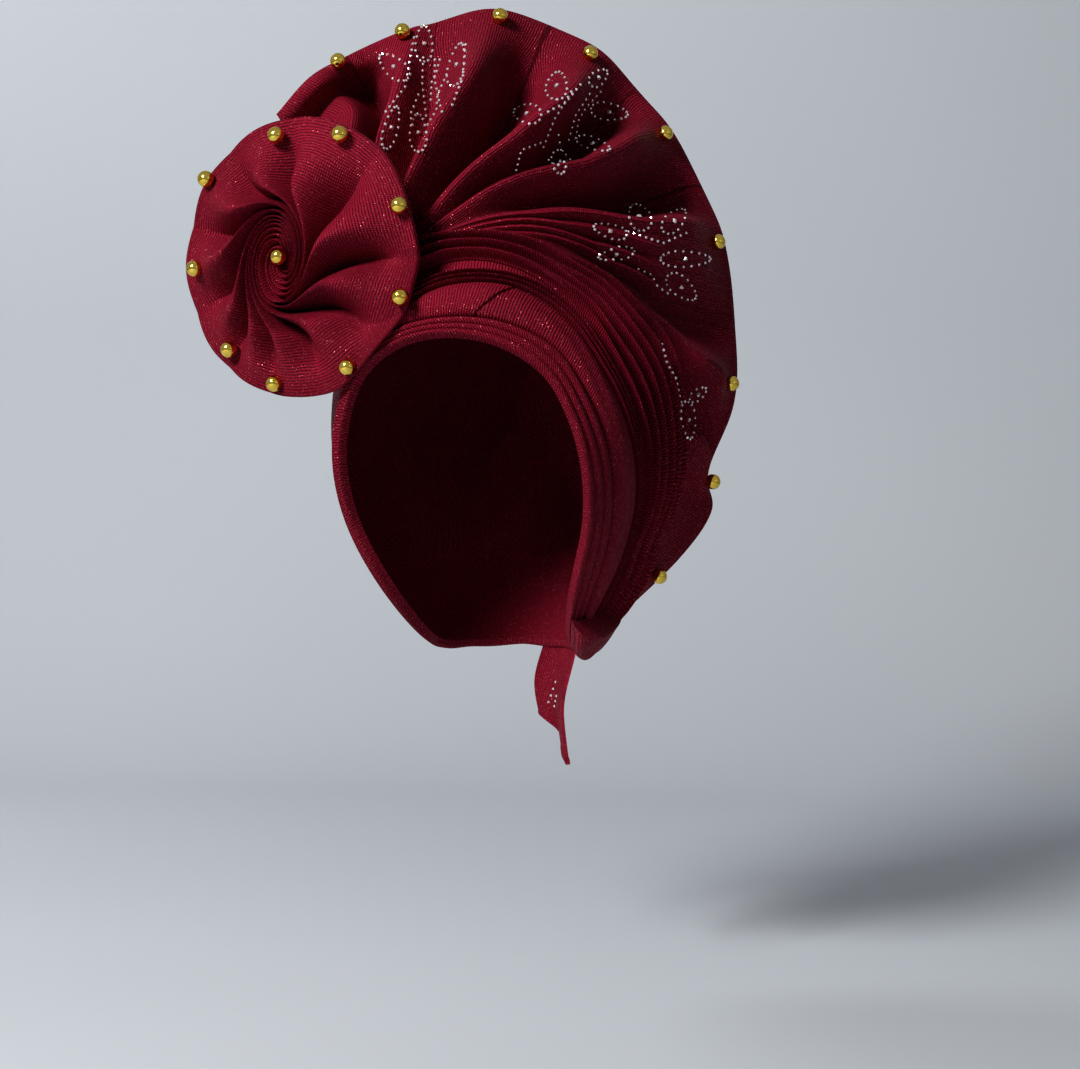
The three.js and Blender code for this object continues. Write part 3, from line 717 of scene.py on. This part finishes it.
def outer_lift(turn, v):
    stand, width = outer_crest(turn, v)
    return outer_base(turn, v) - OUTER_SINK + np.clip(1.5 * width, *OUTER_STAND) * stand


def outer_floor(turn, v):
    return np.maximum(BAND_FOOT, outer_base(turn, v) - OUTER_DEPTH)


# Fan

RIM_ROWS = len(FAN_RIM) - 1
FOOT_STEPS = 100


def measure_foot():
    """Foot of the fan on the head, for even rows of the rim."""
    turn = mix(*FAN_TURNS, np.linspace(0, 1, RIM_ROWS * FOOT_STEPS + 1))
    lift = np.maximum(BAND_FOOT + 0.35, wrap_at("lift", turn) - FAN_SINK)
    return on_head(turn, wrap_at("root", turn) + FAN_GAP, lift)


FAN_FOOT = measure_foot()


def fan_base(row, out):
    at = np.clip(row, 0, RIM_ROWS) * FOOT_STEPS
    i = np.clip(np.floor(at).astype(int), 0, len(FAN_FOOT) - 2)
    foot = mix(FAN_FOOT[i], FAN_FOOT[i + 1], (at - i)[..., None])
    rim = read_rows(FAN_RIM, np.clip(row, 0, RIM_ROWS))
    bow = mix(foot, rim, 0.5) + FAN_BOW * unit(foot - FORM_CENTRE)
    out = out[..., None]
    return mix(mix(foot, bow, out), mix(bow, rim, out), out)


def fan_facing(row, out):
    step = 0.02
    across = fan_base(row + step, out) - fan_base(row - step, out)
    outward = fan_base(row, np.minimum(1, out + step)) - fan_base(row, np.maximum(0, out - step))
    return unit(np.cross(across, outward))


def fold_paths(out):
    """Row of every fold at each distance out from the foot, smooth through the stations."""
    stations = np.array(FAN_STATIONS)
    rows = FAN_FOLDS[:, :5]
    slope = np.diff(rows, axis=1) / np.diff(stations)
    before, after = slope[:, :-1], slope[:, 1:]
    total = np.where(before + after == 0, 1, before + after)
    inward = np.where(before * after > 0, 2 * before * after / total, 0)
    tangent = np.concatenate([slope[:, :1], inward, slope[:, -1:]], axis=1)
    k = np.clip(np.searchsorted(stations, out, side="right") - 1, 0, 3)
    gap = stations[k + 1] - stations[k]
    f = (out - stations[k]) / gap
    ends = rows[:, k] * (2 * f**3 - 3 * f**2 + 1) + rows[:, k + 1] * (3 * f**2 - 2 * f**3)
    return ends + gap * (tangent[:, k] * (f**3 - 2 * f**2 + f) + tangent[:, k + 1] * (f**3 - f**2))


def fan_middle(columns_per_fold, rows):
    """Middle surface of the fan's cloth, with its distance out and the column of each fold's crest."""
    folds = len(FAN_FOLDS) - 1
    at = np.linspace(0, folds, folds * columns_per_fold + 1)
    out = np.linspace(0, 1, rows + 1) ** 1.2
    i = np.minimum(np.floor(at).astype(int), folds - 1)
    f = at - i
    paths = fold_paths(out)
    row = mix(paths[i], paths[i + 1], f[:, None]).T
    reach = np.broadcast_to(out[:, None], row.shape)
    near_foot = smooth(0.0, 0.08, reach) * (1 - smooth(0.16, 0.5, reach))
    swell = FAN_DEPTH * smooth(0.0, 0.4, reach) * (1 - 0.85 * smooth(0.6, 1, reach))
    heights = swell[..., None] * FAN_FOLDS[:, 5] + near_foot[..., None] * FAN_FOLDS[:, 6]
    lines = np.arange(len(at))
    first, second = heights[:, lines, i], heights[:, lines, i + 1]
    from_valley = np.where(second > first, f, 1 - f)
    sharpness = mix(FOOT_SHARPNESS, RIM_SHARPNESS, smooth(0.05, 0.6, reach))
    climb = fold_profile(from_valley) ** sharpness
    rise = mix(np.minimum(first, second), np.maximum(first, second), climb)
    toward_front = RIM_FRONT_SHARE * smooth(0.4, 1, reach)[..., None]
    way = unit(mix(fan_facing(row, reach), FRONT_OUT, toward_front))
    sunk = smooth(0.45, 0.7, reach) * (1 - smooth(0.84, 0.95, reach))
    hollow = HOLLOW_LIP * smooth(0.86, 1, reach) - HOLLOW_DEPTH * sunk
    hollow = hollow * (1 - smooth(*HOLLOW_ROWS, row))
    points = fan_base(row, reach) + way * rise[..., None] + FRONT_OUT * hollow[..., None]
    crest = columns_per_fold * (2 * np.floor(np.minimum(at, folds - 0.01) / 2).astype(int) + 1)
    return clear_of_head(points, FAN_CLEAR), reach, np.minimum(crest, len(at) - 1)


def build_fan(settings, material):
    middle, reach, crest = fan_middle(settings.fan_columns, settings.fan_rows)
    half = settings.cloth_thickness / MM / 2
    run = run_of(middle)
    cloth = np.stack([run - run[:, crest], length_of(middle)], axis=-1)
    outer, inner = two_sides(middle, half + hem_of(reach))
    return make_sheet("fan_cloth", outer, inner, cloth, material)


# Rosette

ROSETTE_FRONT = np.array([
    math.sin(ROSETTE_FACING) * math.cos(ROSETTE_TIP), -math.cos(ROSETTE_FACING) * math.cos(ROSETTE_TIP),
    math.sin(ROSETTE_TIP)])
ROSETTE_RIGHT = np.array([math.cos(ROSETTE_FACING), math.sin(ROSETTE_FACING), 0.0])
ROSETTE_UP = np.cross(ROSETTE_FRONT, ROSETTE_RIGHT)


def rosette_rise(rim_angle):
    """Height of the folds by the angle that they reach the rim at."""
    rise = np.zeros(rim_angle.shape)
    for here, after in zip(ROSETTE_FOLDS, np.roll(ROSETTE_FOLDS, -1, axis=0)):
        width = (after[0] - here[0]) % 360
        f = ((rim_angle - here[0]) % 360) / width
        height = mix(here[1], after[1], f) * (2 * fold_profile(np.abs(2 * f - 1)) - 1)
        rise = np.where(f <= 1, height, rise)
    return rise


def rosette_middle(columns, rows):
    """Middle surface of the rosette's cloth, with the share out to its rim and the grid's own rows."""
    u, v = grid(columns, rows)
    rim_angle = 360 * u
    straight = np.radians(rim_angle)
    aside = COIL_OFFSET * np.sin(straight)
    reach = -COIL_OFFSET * np.cos(straight) + np.sqrt(ROSETTE_RADIUS**2 - aside**2)
    radius = mix(COIL_EYE, reach, v**1.15)
    inside = COIL_TWIST + COIL_RATE * (COIL_RADIUS - radius)
    outside = COIL_TWIST * np.exp((COIL_RADIUS - radius) / COIL_UNWIND)
    angle = straight - np.radians(np.where(radius < COIL_RADIUS, inside, outside))
    share = radius / reach
    swell = mix(0.3, 1.1, smooth(10, 32, radius)) * (1 - 0.85 * smooth(0.5, 1, share))
    dome = ROSETTE_DOME * (1 - share**2) - 3 * (1 - smooth(0, 14, radius))
    height = dome + rosette_rise(rim_angle) * swell
    oval = 1 - smooth(12, COIL_ROUND, radius)
    right = COIL_OFFSET + radius * np.cos(angle) * mix(1, COIL_OVAL_ACROSS, oval)
    up = radius * np.sin(angle) * mix(1, COIL_OVAL_UP, oval)
    points = ROSETTE_MIDDLE + right[..., None] * ROSETTE_RIGHT + up[..., None] * ROSETTE_UP
    points = points + height[..., None] * ROSETTE_FRONT
    return clear_of_head(points, ROSETTE_CLEAR), share, v


def build_rosette(settings, material):
    middle, share, v = rosette_middle(settings.rosette_columns, settings.rosette_rows)
    half = settings.cloth_thickness / MM / 2
    hem = hem_of(share)
    front = middle + ROSETTE_FRONT * (half + hem)[..., None]
    stem = STEM_LENGTH * (1 - smooth(0.08, 0.36, v))
    rear = clear_of_head(middle - ROSETTE_FRONT * (half + hem + stem)[..., None], ROSETTE_CLEAR - half)
    for side in (front, rear):
        side[0] = side[0, :-1].mean(axis=0)
    length = length_of(middle)
    cloth = np.stack([length - length[-1:], run_of(middle)], axis=-1)
    return make_sheet("rosette_cloth", front, rear, cloth, material, ring=True)


# Knot and tail

def build_knot(material):
    u, v = grid(*KNOT_GRID)
    turn = mix(KNOT["start"], KNOT["end"], u)
    far = mix(KNOT["far_top"], KNOT["far_foot"], u)
    distance = mix(KNOT["near"], far, v)
    plump = np.sqrt(np.maximum(0.06, 1 - u**4)) * np.sqrt(np.maximum(0.06, 1 - (2 * v - 1) ** 6))
    crease = 0.5 * np.sin(np.pi * (5 * v + 1.4 * u)) * smooth(0, 0.3, u)
    outer = on_head(turn, distance, KNOT["foot"] + KNOT["depth"] * plump + crease * plump)
    past = smooth(KNOT["past_band"], KNOT["on_cap"], distance)
    inner = on_head(turn, distance, mix(KNOT["foot"], BAND_FOOT, past))
    cloth = np.stack([distance, run_of(outer)], axis=-1)
    return make_sheet("nape_knot_cloth", outer, inner, cloth, material)


def build_tail(settings, material):
    u, v = grid(*TAIL_GRID)
    half = settings.cloth_thickness / MM / 2
    top = on_head(mix(TAIL["start"], TAIL["end"], u), TAIL["top"], np.full(u.shape, TAIL["lift"]))
    fold = 1.5 * np.sin(2 * np.pi * (1.5 * u + 0.4 * v)) * v
    away = unit((top - FORM_CENTRE) * (1, 1, 0))
    middle = top + away * (fold - 5 * smooth(0, 0.6, v))[..., None]
    middle[..., 2] -= (TAIL["length"] - TAIL["slant"] * u) * v
    middle[..., 0] -= TAIL["sway"] * np.sin(np.pi * v)
    hem = hem_of(v, TAIL["hem_start"], TAIL["hem"])
    cloth = np.stack([run_of(middle), np.broadcast_to(v * TAIL["length"], u.shape)], axis=-1)
    outer, inner = two_sides(middle, half + hem)
    return make_sheet("tail_cloth", outer, inner, cloth, material)


# Beads and stones

def new_tree(name, sockets):
    """A geometry tree with a mesh in and out and named inputs for its sizes."""
    tree = bpy.data.node_groups.new(name, "GeometryNodeTree")
    tree.interface.new_socket("Points", in_out="INPUT", socket_type="NodeSocketGeometry")
    for label, kind in sockets:
        tree.interface.new_socket(label, in_out="INPUT", socket_type=kind)
    tree.interface.new_socket("Trim", in_out="OUTPUT", socket_type="NodeSocketGeometry")
    return tree, tree.nodes.new("NodeGroupInput").outputs, tree.nodes.new("NodeGroupOutput")


def close_tree(tree, instances, finish, end):
    solid = add_node(tree, "GeometryNodeRealizeInstances", {"Geometry": instances}).outputs[0]
    dressed = add_node(tree, "GeometryNodeSetMaterial", {"Geometry": solid, "Material": finish}).outputs[0]
    tree.links.new(dressed, end.inputs[0])


def bead_tree():
    tree, given, end = new_tree("sewn beads", [
        ("Bead radius", "NodeSocketFloat"), ("Sides", "NodeSocketInt"), ("Finish", "NodeSocketMaterial")])
    ball = add_node(tree, "GeometryNodeMeshUVSphere", {
        "Segments": given["Sides"], "Rings": 20, "Radius": given["Bead radius"]}).outputs["Mesh"]
    smoothed = add_node(tree, "GeometryNodeSetShadeSmooth", {"Geometry": ball, "Shade Smooth": True})
    placed = add_node(tree, "GeometryNodeInstanceOnPoints", {
        "Points": given["Points"], "Instance": smoothed.outputs[0]})
    close_tree(tree, placed.outputs[0], given["Finish"], end)
    return tree


def stone_tree():
    tree, given, end = new_tree("hot-fixed stones", [
        ("Stone width", "NodeSocketFloat"), ("Sides", "NodeSocketInt"), ("Finish", "NodeSocketMaterial")])
    radius = math_node(tree, "MULTIPLY", given["Stone width"], 0.5)
    table = math_node(tree, "MULTIPLY", radius, 0.55)
    depth = math_node(tree, "MULTIPLY", radius, 0.75)
    cut = add_node(tree, "GeometryNodeMeshCone", {
        "Vertices": given["Sides"], "Radius Top": table, "Radius Bottom": radius,
        "Depth": depth}).outputs["Mesh"]
    facing = add_node(tree, "GeometryNodeInputNamedAttribute", {"Name": "facing"}, data_type="FLOAT_VECTOR")
    turned = add_node(tree, "FunctionNodeAlignRotationToVector", {"Vector": facing.outputs[0]}, axis="Z")
    placed = add_node(tree, "GeometryNodeInstanceOnPoints", {
        "Points": given["Points"], "Instance": cut, "Rotation": turned.outputs[0]})
    close_tree(tree, placed.outputs[0], given["Finish"], end)
    return tree


def scatter(name, points, facing, tree, values):
    """Runs a tree on a set of points in metres and returns the result as a plain mesh object."""
    seeds = bpy.data.meshes.new(name + " places")
    seeds.from_pydata([tuple(p) for p in points], [], [])
    seeds.attributes.new("facing", "FLOAT_VECTOR", "POINT").data.foreach_set("vector", np.ravel(facing))
    piece = bpy.data.objects.new(name, seeds)
    bpy.context.scene.collection.objects.link(piece)
    modifier = piece.modifiers.new("trim", "NODES")
    modifier.node_group = tree
    for socket in tree.interface.items_tree:
        if socket.in_out == "INPUT" and socket.name in values:
            modifier[socket.identifier] = values[socket.name]
    evaluated = piece.evaluated_get(bpy.context.evaluated_depsgraph_get())
    mesh = bpy.data.meshes.new_from_object(evaluated)
    piece.modifiers.remove(modifier)
    piece.data = mesh
    bpy.data.meshes.remove(seeds)
    return piece


def surface_tree(piece):
    mesh = piece.data
    return BVHTree.FromPolygons([v.co[:] for v in mesh.vertices], [p.vertices[:] for p in mesh.polygons])


# How far in front of a bead's solid the search for its seat starts, and the gap under beads and stones,
# in metres
BEAD_SEARCH = 0.04
BEAD_GAP = 0.0001
STONE_GAP = 0.0002


def bead_places(radius):
    """Bead names and middles, each seated on the cloth behind its solid, or else on the nearest cloth."""
    carriers = {"fan": surface_tree(bpy.data.objects["fan_cloth"]),
                "rosette": surface_tree(bpy.data.objects["rosette_cloth"])}
    names = sorted(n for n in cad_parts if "bead" in n)
    places = []
    for name in names:
        low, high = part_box(name)
        middle = (Vector(low) + Vector(high)) / 2
        carrier = carriers[name.split("_")[0]]
        front = Vector(FRONT_OUT)
        seat, _, _, _ = carrier.ray_cast(middle + front * BEAD_SEARCH, -front)
        away = front
        if seat is None or (seat - middle).length > BEAD_SEARCH / 2:
            seat, _, _, _ = carrier.find_nearest(middle)
            away = (middle - seat).normalized() + front
        places.append(seat + away.normalized() * (radius + BEAD_GAP))
    return names, places


def petal_outline(right, up, length, width, lean, spacing):
    """Stones round one petal, blunt at its far end."""
    turn = math.radians(lean)
    count = max(7, round(math.pi * (length + width) / 2 / spacing))
    a = 2 * math.pi * np.arange(count) / count
    along = length / 2 * np.cos(a)
    across = width / 2 * np.sin(a) * (0.85 - 0.2 * np.cos(a))
    return np.stack([right + along * math.cos(turn) - across * math.sin(turn),
                     up + along * math.sin(turn) + across * math.cos(turn)], axis=-1)


def string_of(places, spacing):
    """Stones at even steps along a bent line."""
    places = np.array(places, float)
    run = run_of(places[None])[0]
    steps = np.linspace(0, run[-1], max(2, round(run[-1] / spacing) + 1))
    return np.stack([np.interp(steps, run, places[:, k]) for k in (0, 1)], axis=-1)


def petal_chart(spacing):
    """Places of round and square stones, right of and above the front point, in mm."""
    rounds, squares = [], []
    for flower, middle in FLOWERS.items():
        for petal in PETALS[flower]:
            rounds.extend(petal_outline(*petal, spacing) + middle)
            squares.append(np.array(petal[:2]) + middle)
        for places in STRINGS[flower]:
            rounds.extend(string_of(places, spacing * 1.1) + middle)
    return rounds, squares


def drop_on_cloth(carriers, chart):
    """Carries charted places straight back from the front onto the cloth that lies first."""
    places, facings = [], []
    eye = Vector(FRONT_EYE * MM)
    for right, up in chart:
        ray = Vector(unit(FRONT_RIGHT * right + np.array([0, 0, up]) - FRONT_EYE))
        hits = [hit for hit in (carrier.ray_cast(eye, ray) for carrier in carriers) if hit[0] is not None]
        if not hits:
            continue
        spot, normal, _, _ = min(hits, key=lambda hit: hit[3])
        if normal.dot(ray) > 0:
            normal = -normal
        places.append(spot + normal * STONE_GAP)
        facings.append(normal)
    return places, facings


# Settings, tools and panel

class GeleCloth(bpy.types.PropertyGroup):
    """Sizes and dye of the cloth"""
    cloth_colour: bpy.props.FloatVectorProperty(
        name="Dye", description="Burgundy of the lit cloth", subtype="COLOR", size=3, min=0, max=1,
        default=colour("#961d36")[:3])
    cloth_thickness: bpy.props.FloatProperty(
        name="Thickness", description="Thickness of the doubled cloth", default=0.0016, unit="LENGTH")
    rib_pitch: bpy.props.FloatProperty(
        name="Rib pitch", description="Distance between woven ribs", default=0.00145, unit="LENGTH")
    pick_pitch: bpy.props.FloatProperty(
        name="Pick pitch", description="Distance between slanted picks along a rib", default=0.0011,
        unit="LENGTH")
    speck_spacing: bpy.props.FloatProperty(
        name="Speck spacing", description="Distance between glitter specks", default=0.0006, unit="LENGTH")
    speck_share: bpy.props.FloatProperty(
        name="Speck share", description="Share of places that hold a glitter speck", default=0.24,
        subtype="FACTOR")
    fan_columns: bpy.props.IntProperty(
        name="Fan columns", description="Mesh columns across each fold of the fan", default=14)
    fan_rows: bpy.props.IntProperty(name="Fan rows", description="Mesh rows from foot to rim", default=124)
    rosette_columns: bpy.props.IntProperty(
        name="Rosette columns", description="Mesh columns round the rosette", default=396)
    rosette_rows: bpy.props.IntProperty(
        name="Rosette rows", description="Mesh rows from eye to rim", default=110)


class GeleTrim(bpy.types.PropertyGroup):
    """Sizes and colour of the trim"""
    gold: bpy.props.FloatVectorProperty(
        name="Gold", description="Colour of the plated beads", subtype="COLOR", size=3, min=0, max=1,
        default=colour("#f7e07a")[:3])
    bead_radius: bpy.props.FloatProperty(
        name="Bead radius", description="Radius of the sewn beads", default=0.004, unit="LENGTH")
    stone_width: bpy.props.FloatProperty(
        name="Stone width", description="Width of the round stones", default=0.0016, unit="LENGTH")
    square_width: bpy.props.FloatProperty(
        name="Square width", description="Width across the corners of the square stones", default=0.0028,
        unit="LENGTH")
    stone_spacing: bpy.props.FloatProperty(
        name="Stone spacing", description="Distance between stones round a petal", default=0.0028,
        unit="LENGTH")


class GELE_OT_wrap(bpy.types.Operator):
    """Makes the cap, face band, panel and pleats"""
    bl_idname = "gele.wrap"
    bl_label = "Make wrap"

    def execute(self, context):
        cloth = cloth_finish(context.scene.gele_cloth)
        cap = build_cap(cloth)
        join_frame(cap, "cloth", "cap")
        band = build_band(cloth)
        join_frame(band, "cloth", "face_band")
        over = build_panel("panel_over_cloth", lambda v: -2 + 0 * v, lap_line, 90, 1.4, cloth)
        join_frame(over, "cloth", "panel_over")
        under = build_panel(
            "panel_under_cloth", lambda v: lap_line(v) + 0.02, lambda v: KNOT_TURN + 0 * v, 200, 0.0, cloth)
        join_frame(under, "cloth", "panel_under")
        inner = build_pleats(
            "inner_pleats_cloth", -0.9, "panel", "inner", (0.2, 0.2), inner_crest, inner_lift,
            lambda turn, v: np.full(v.shape, BAND_FOOT), 260, 48, cloth)
        join_frame(inner, "cloth", "pleats_inner")
        outer = build_pleats("outer_pleats_cloth", -2, "gully", "root", (0.2, 0.5), outer_crest, outer_lift,
                             outer_floor, 260, 120, cloth)
        join_frame(outer, "cloth", "pleats_outer")
        return {"FINISHED"}


class GELE_OT_fan(bpy.types.Operator):
    """Makes the standing fan"""
    bl_idname = "gele.fan"
    bl_label = "Make fan"

    def execute(self, context):
        settings = context.scene.gele_cloth
        fan = build_fan(settings, cloth_finish(settings))
        join_frame(fan, "cloth", "fan")
        return {"FINISHED"}


class GELE_OT_rosette(bpy.types.Operator):
    """Makes the rosette"""
    bl_idname = "gele.rosette"
    bl_label = "Make rosette"

    def execute(self, context):
        settings = context.scene.gele_cloth
        rosette = build_rosette(settings, cloth_finish(settings))
        join_frame(rosette, "cloth", "rosette")
        return {"FINISHED"}


class GELE_OT_knot(bpy.types.Operator):
    """Makes the knot at the nape and the free tail"""
    bl_idname = "gele.knot"
    bl_label = "Make knot and tail"

    def execute(self, context):
        settings = context.scene.gele_cloth
        cloth = cloth_finish(settings)
        knot = build_knot(cloth)
        join_frame(knot, "cloth", "nape_knot")
        tail = build_tail(settings, cloth)
        join_frame(tail, "cloth", "tail")
        return {"FINISHED"}


class GELE_OT_beads(bpy.types.Operator):
    """Sews the gold beads on the rims and in the coil"""
    bl_idname = "gele.beads"
    bl_label = "Make beads"

    def execute(self, context):
        trim = context.scene.gele_trim
        gold = finish_named("polished gold", polished_gold, trim)
        names, places = bead_places(trim.bead_radius)
        beads = scatter("gold_beads", places, np.zeros((len(places), 3)), bead_tree(), {
            "Bead radius": trim.bead_radius, "Sides": 40, "Finish": gold})
        join_frame(beads, "bead", *names)
        return {"FINISHED"}


class GELE_OT_stones(bpy.types.Operator):
    """Lays the stone flowers on the fan and the few stones on the tail"""
    bl_idname = "gele.stones"
    bl_label = "Make stone flowers"

    def execute(self, context):
        trim = context.scene.gele_trim
        glass = finish_named("foiled glass", foiled_glass)
        carriers = [surface_tree(bpy.data.objects[name]) for name in STONE_CARRIERS]
        rounds, squares = petal_chart(trim.stone_spacing / MM)
        tree = stone_tree()
        for name, chart, width, sides in (("round_stones", rounds, trim.stone_width, 8),
                                          ("square_stones", squares, trim.square_width, 4)):
            places, facings = drop_on_cloth(carriers, chart)
            stones = scatter(name, places, facings, tree, {
                "Stone width": width, "Sides": sides, "Finish": glass})
            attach(stones, "root")
        return {"FINISHED"}


FLOOR_LEVEL = -0.29


class GELE_OT_stage(bpy.types.Operator):
    """Sets the paper sweep, lights and camera"""
    bl_idname = "gele.stage"
    bl_label = "Set stage"

    def execute(self, context):
        paper = build_sweep()
        set_lights(context.scene, paper)
        set_camera(context.scene)
        return {"FINISHED"}


def build_sweep():
    """Floor that curves up into a wall behind the piece."""
    back, bend, top, half = 1.3, 0.5, 3.2, 3.5
    arc = [math.radians(a) for a in range(0, 91, 6)]
    line = [(-3.0, FLOOR_LEVEL)]
    line += [(back - bend + bend * math.sin(a), FLOOR_LEVEL + bend - bend * math.cos(a)) for a in arc]
    line.append((back, top))
    points = [(x, y, z) for y, z in line for x in (-half, half)]
    faces = [(2 * k, 2 * k + 1, 2 * k + 3, 2 * k + 2) for k in range(len(line) - 1)]
    mesh = bpy.data.meshes.new("paper_sweep")
    mesh.from_pydata(points, [], faces)
    mesh.polygons.foreach_set("use_smooth", [True] * len(faces))
    mesh.materials.append(finish_named("pale paper", pale_paper))
    sweep = bpy.data.objects.new("paper_sweep", mesh)
    bpy.context.scene.collection.objects.link(sweep)
    return sweep


def add_light(name, place, target, size, power, tint):
    lamp = bpy.data.lights.new(name, "AREA")
    lamp.shape = "DISK"
    lamp.size = size
    lamp.energy = power
    lamp.color = colour(tint)[:3]
    holder = bpy.data.objects.new(name, lamp)
    holder.location = place
    holder.rotation_euler = (Vector(target) - Vector(place)).to_track_quat("-Z", "Y").to_euler()
    bpy.context.scene.collection.objects.link(holder)
    return holder


def set_lights(scene, sweep):
    """A window from the upper left, a weak bounce, and two washes that reach only the paper."""
    add_light("window", (-0.74, -1.57, 1.02), (-0.02, 0.0, 0.05), 0.6, 47.0, "#ffffff")
    add_light("front bounce", (1.6, -1.2, 0.4), (0.0, 0.0, 0.03), 1.0, 0.8, "#f4f6ff")
    wall = bpy.data.collections.new("wall only")
    wall.objects.link(sweep)
    left = add_light("wall wash left", (-1.5, 0.2, 1.5), (-0.7, 1.3, 0.2), 0.8, 13.0, "#fbfcff")
    right = add_light("wall wash right", (1.6, 0.2, 1.5), (0.8, 1.3, 0.3), 0.8, 1.6, "#fbfcff")
    for wash in (left, right):
        wash.light_linking.receiver_collection = wall
    world = bpy.data.worlds.new("soft room")
    world.use_nodes = True
    backdrop = next(n for n in world.node_tree.nodes if n.type == "BACKGROUND")
    backdrop.inputs[0].default_value = colour("#dfe3ea")
    mirrored = add_node(world.node_tree, "ShaderNodeLightPath").outputs["Is Glossy Ray"]
    level = math_node(world.node_tree, "MULTIPLY_ADD", mirrored, 0.4, 0.018)
    world.node_tree.links.new(level, backdrop.inputs[1])
    scene.world = world
    scene.view_settings.view_transform = "Standard"
    scene.view_settings.look = "Medium High Contrast"


LENS = 66.67


def set_camera(scene):
    eye = bpy.data.cameras.new("front view")
    eye.lens = LENS
    eye.sensor_width = 36.0
    eye.clip_end = 20.0
    holder = bpy.data.objects.new("front view", eye)
    holder.location = FRONT_EYE * MM
    holder.rotation_euler = Vector(-FRONT_OUT).to_track_quat("-Z", "Y").to_euler()
    scene.collection.objects.link(holder)
    scene.camera = holder


class GELE_PT_panel(bpy.types.Panel):
    """Lists the tools that make the head tie"""
    bl_label = "Tied gele head tie"
    bl_idname = "GELE_PT_panel"
    bl_space_type = "VIEW_3D"
    bl_region_type = "UI"
    bl_category = "Gele"

    def draw(self, context):
        for group in (context.scene.gele_cloth, context.scene.gele_trim):
            for key in group.bl_rna.properties.keys():
                if key not in ("rna_type", "name"):
                    self.layout.prop(group, key)
        for tool in TOOLS:
            self.layout.operator(tool.bl_idname)


TOOLS = (
    GELE_OT_wrap, GELE_OT_fan, GELE_OT_rosette, GELE_OT_knot, GELE_OT_beads, GELE_OT_stones, GELE_OT_stage)
CLASSES = (GeleCloth, GeleTrim) + TOOLS + (GELE_PT_panel,)


def register():
    for kind in CLASSES:
        bpy.utils.register_class(kind)
    bpy.types.Scene.gele_cloth = bpy.props.PointerProperty(type=GeleCloth)
    bpy.types.Scene.gele_trim = bpy.props.PointerProperty(type=GeleTrim)


def unregister():
    del bpy.types.Scene.gele_trim
    del bpy.types.Scene.gele_cloth
    for kind in reversed(CLASSES):
        bpy.utils.unregister_class(kind)


def main():
    register()
    for tool in TOOLS:
        group, name = tool.bl_idname.split(".")
        getattr(getattr(bpy.ops, group), name)()


if __name__ == "__main__":
    main()
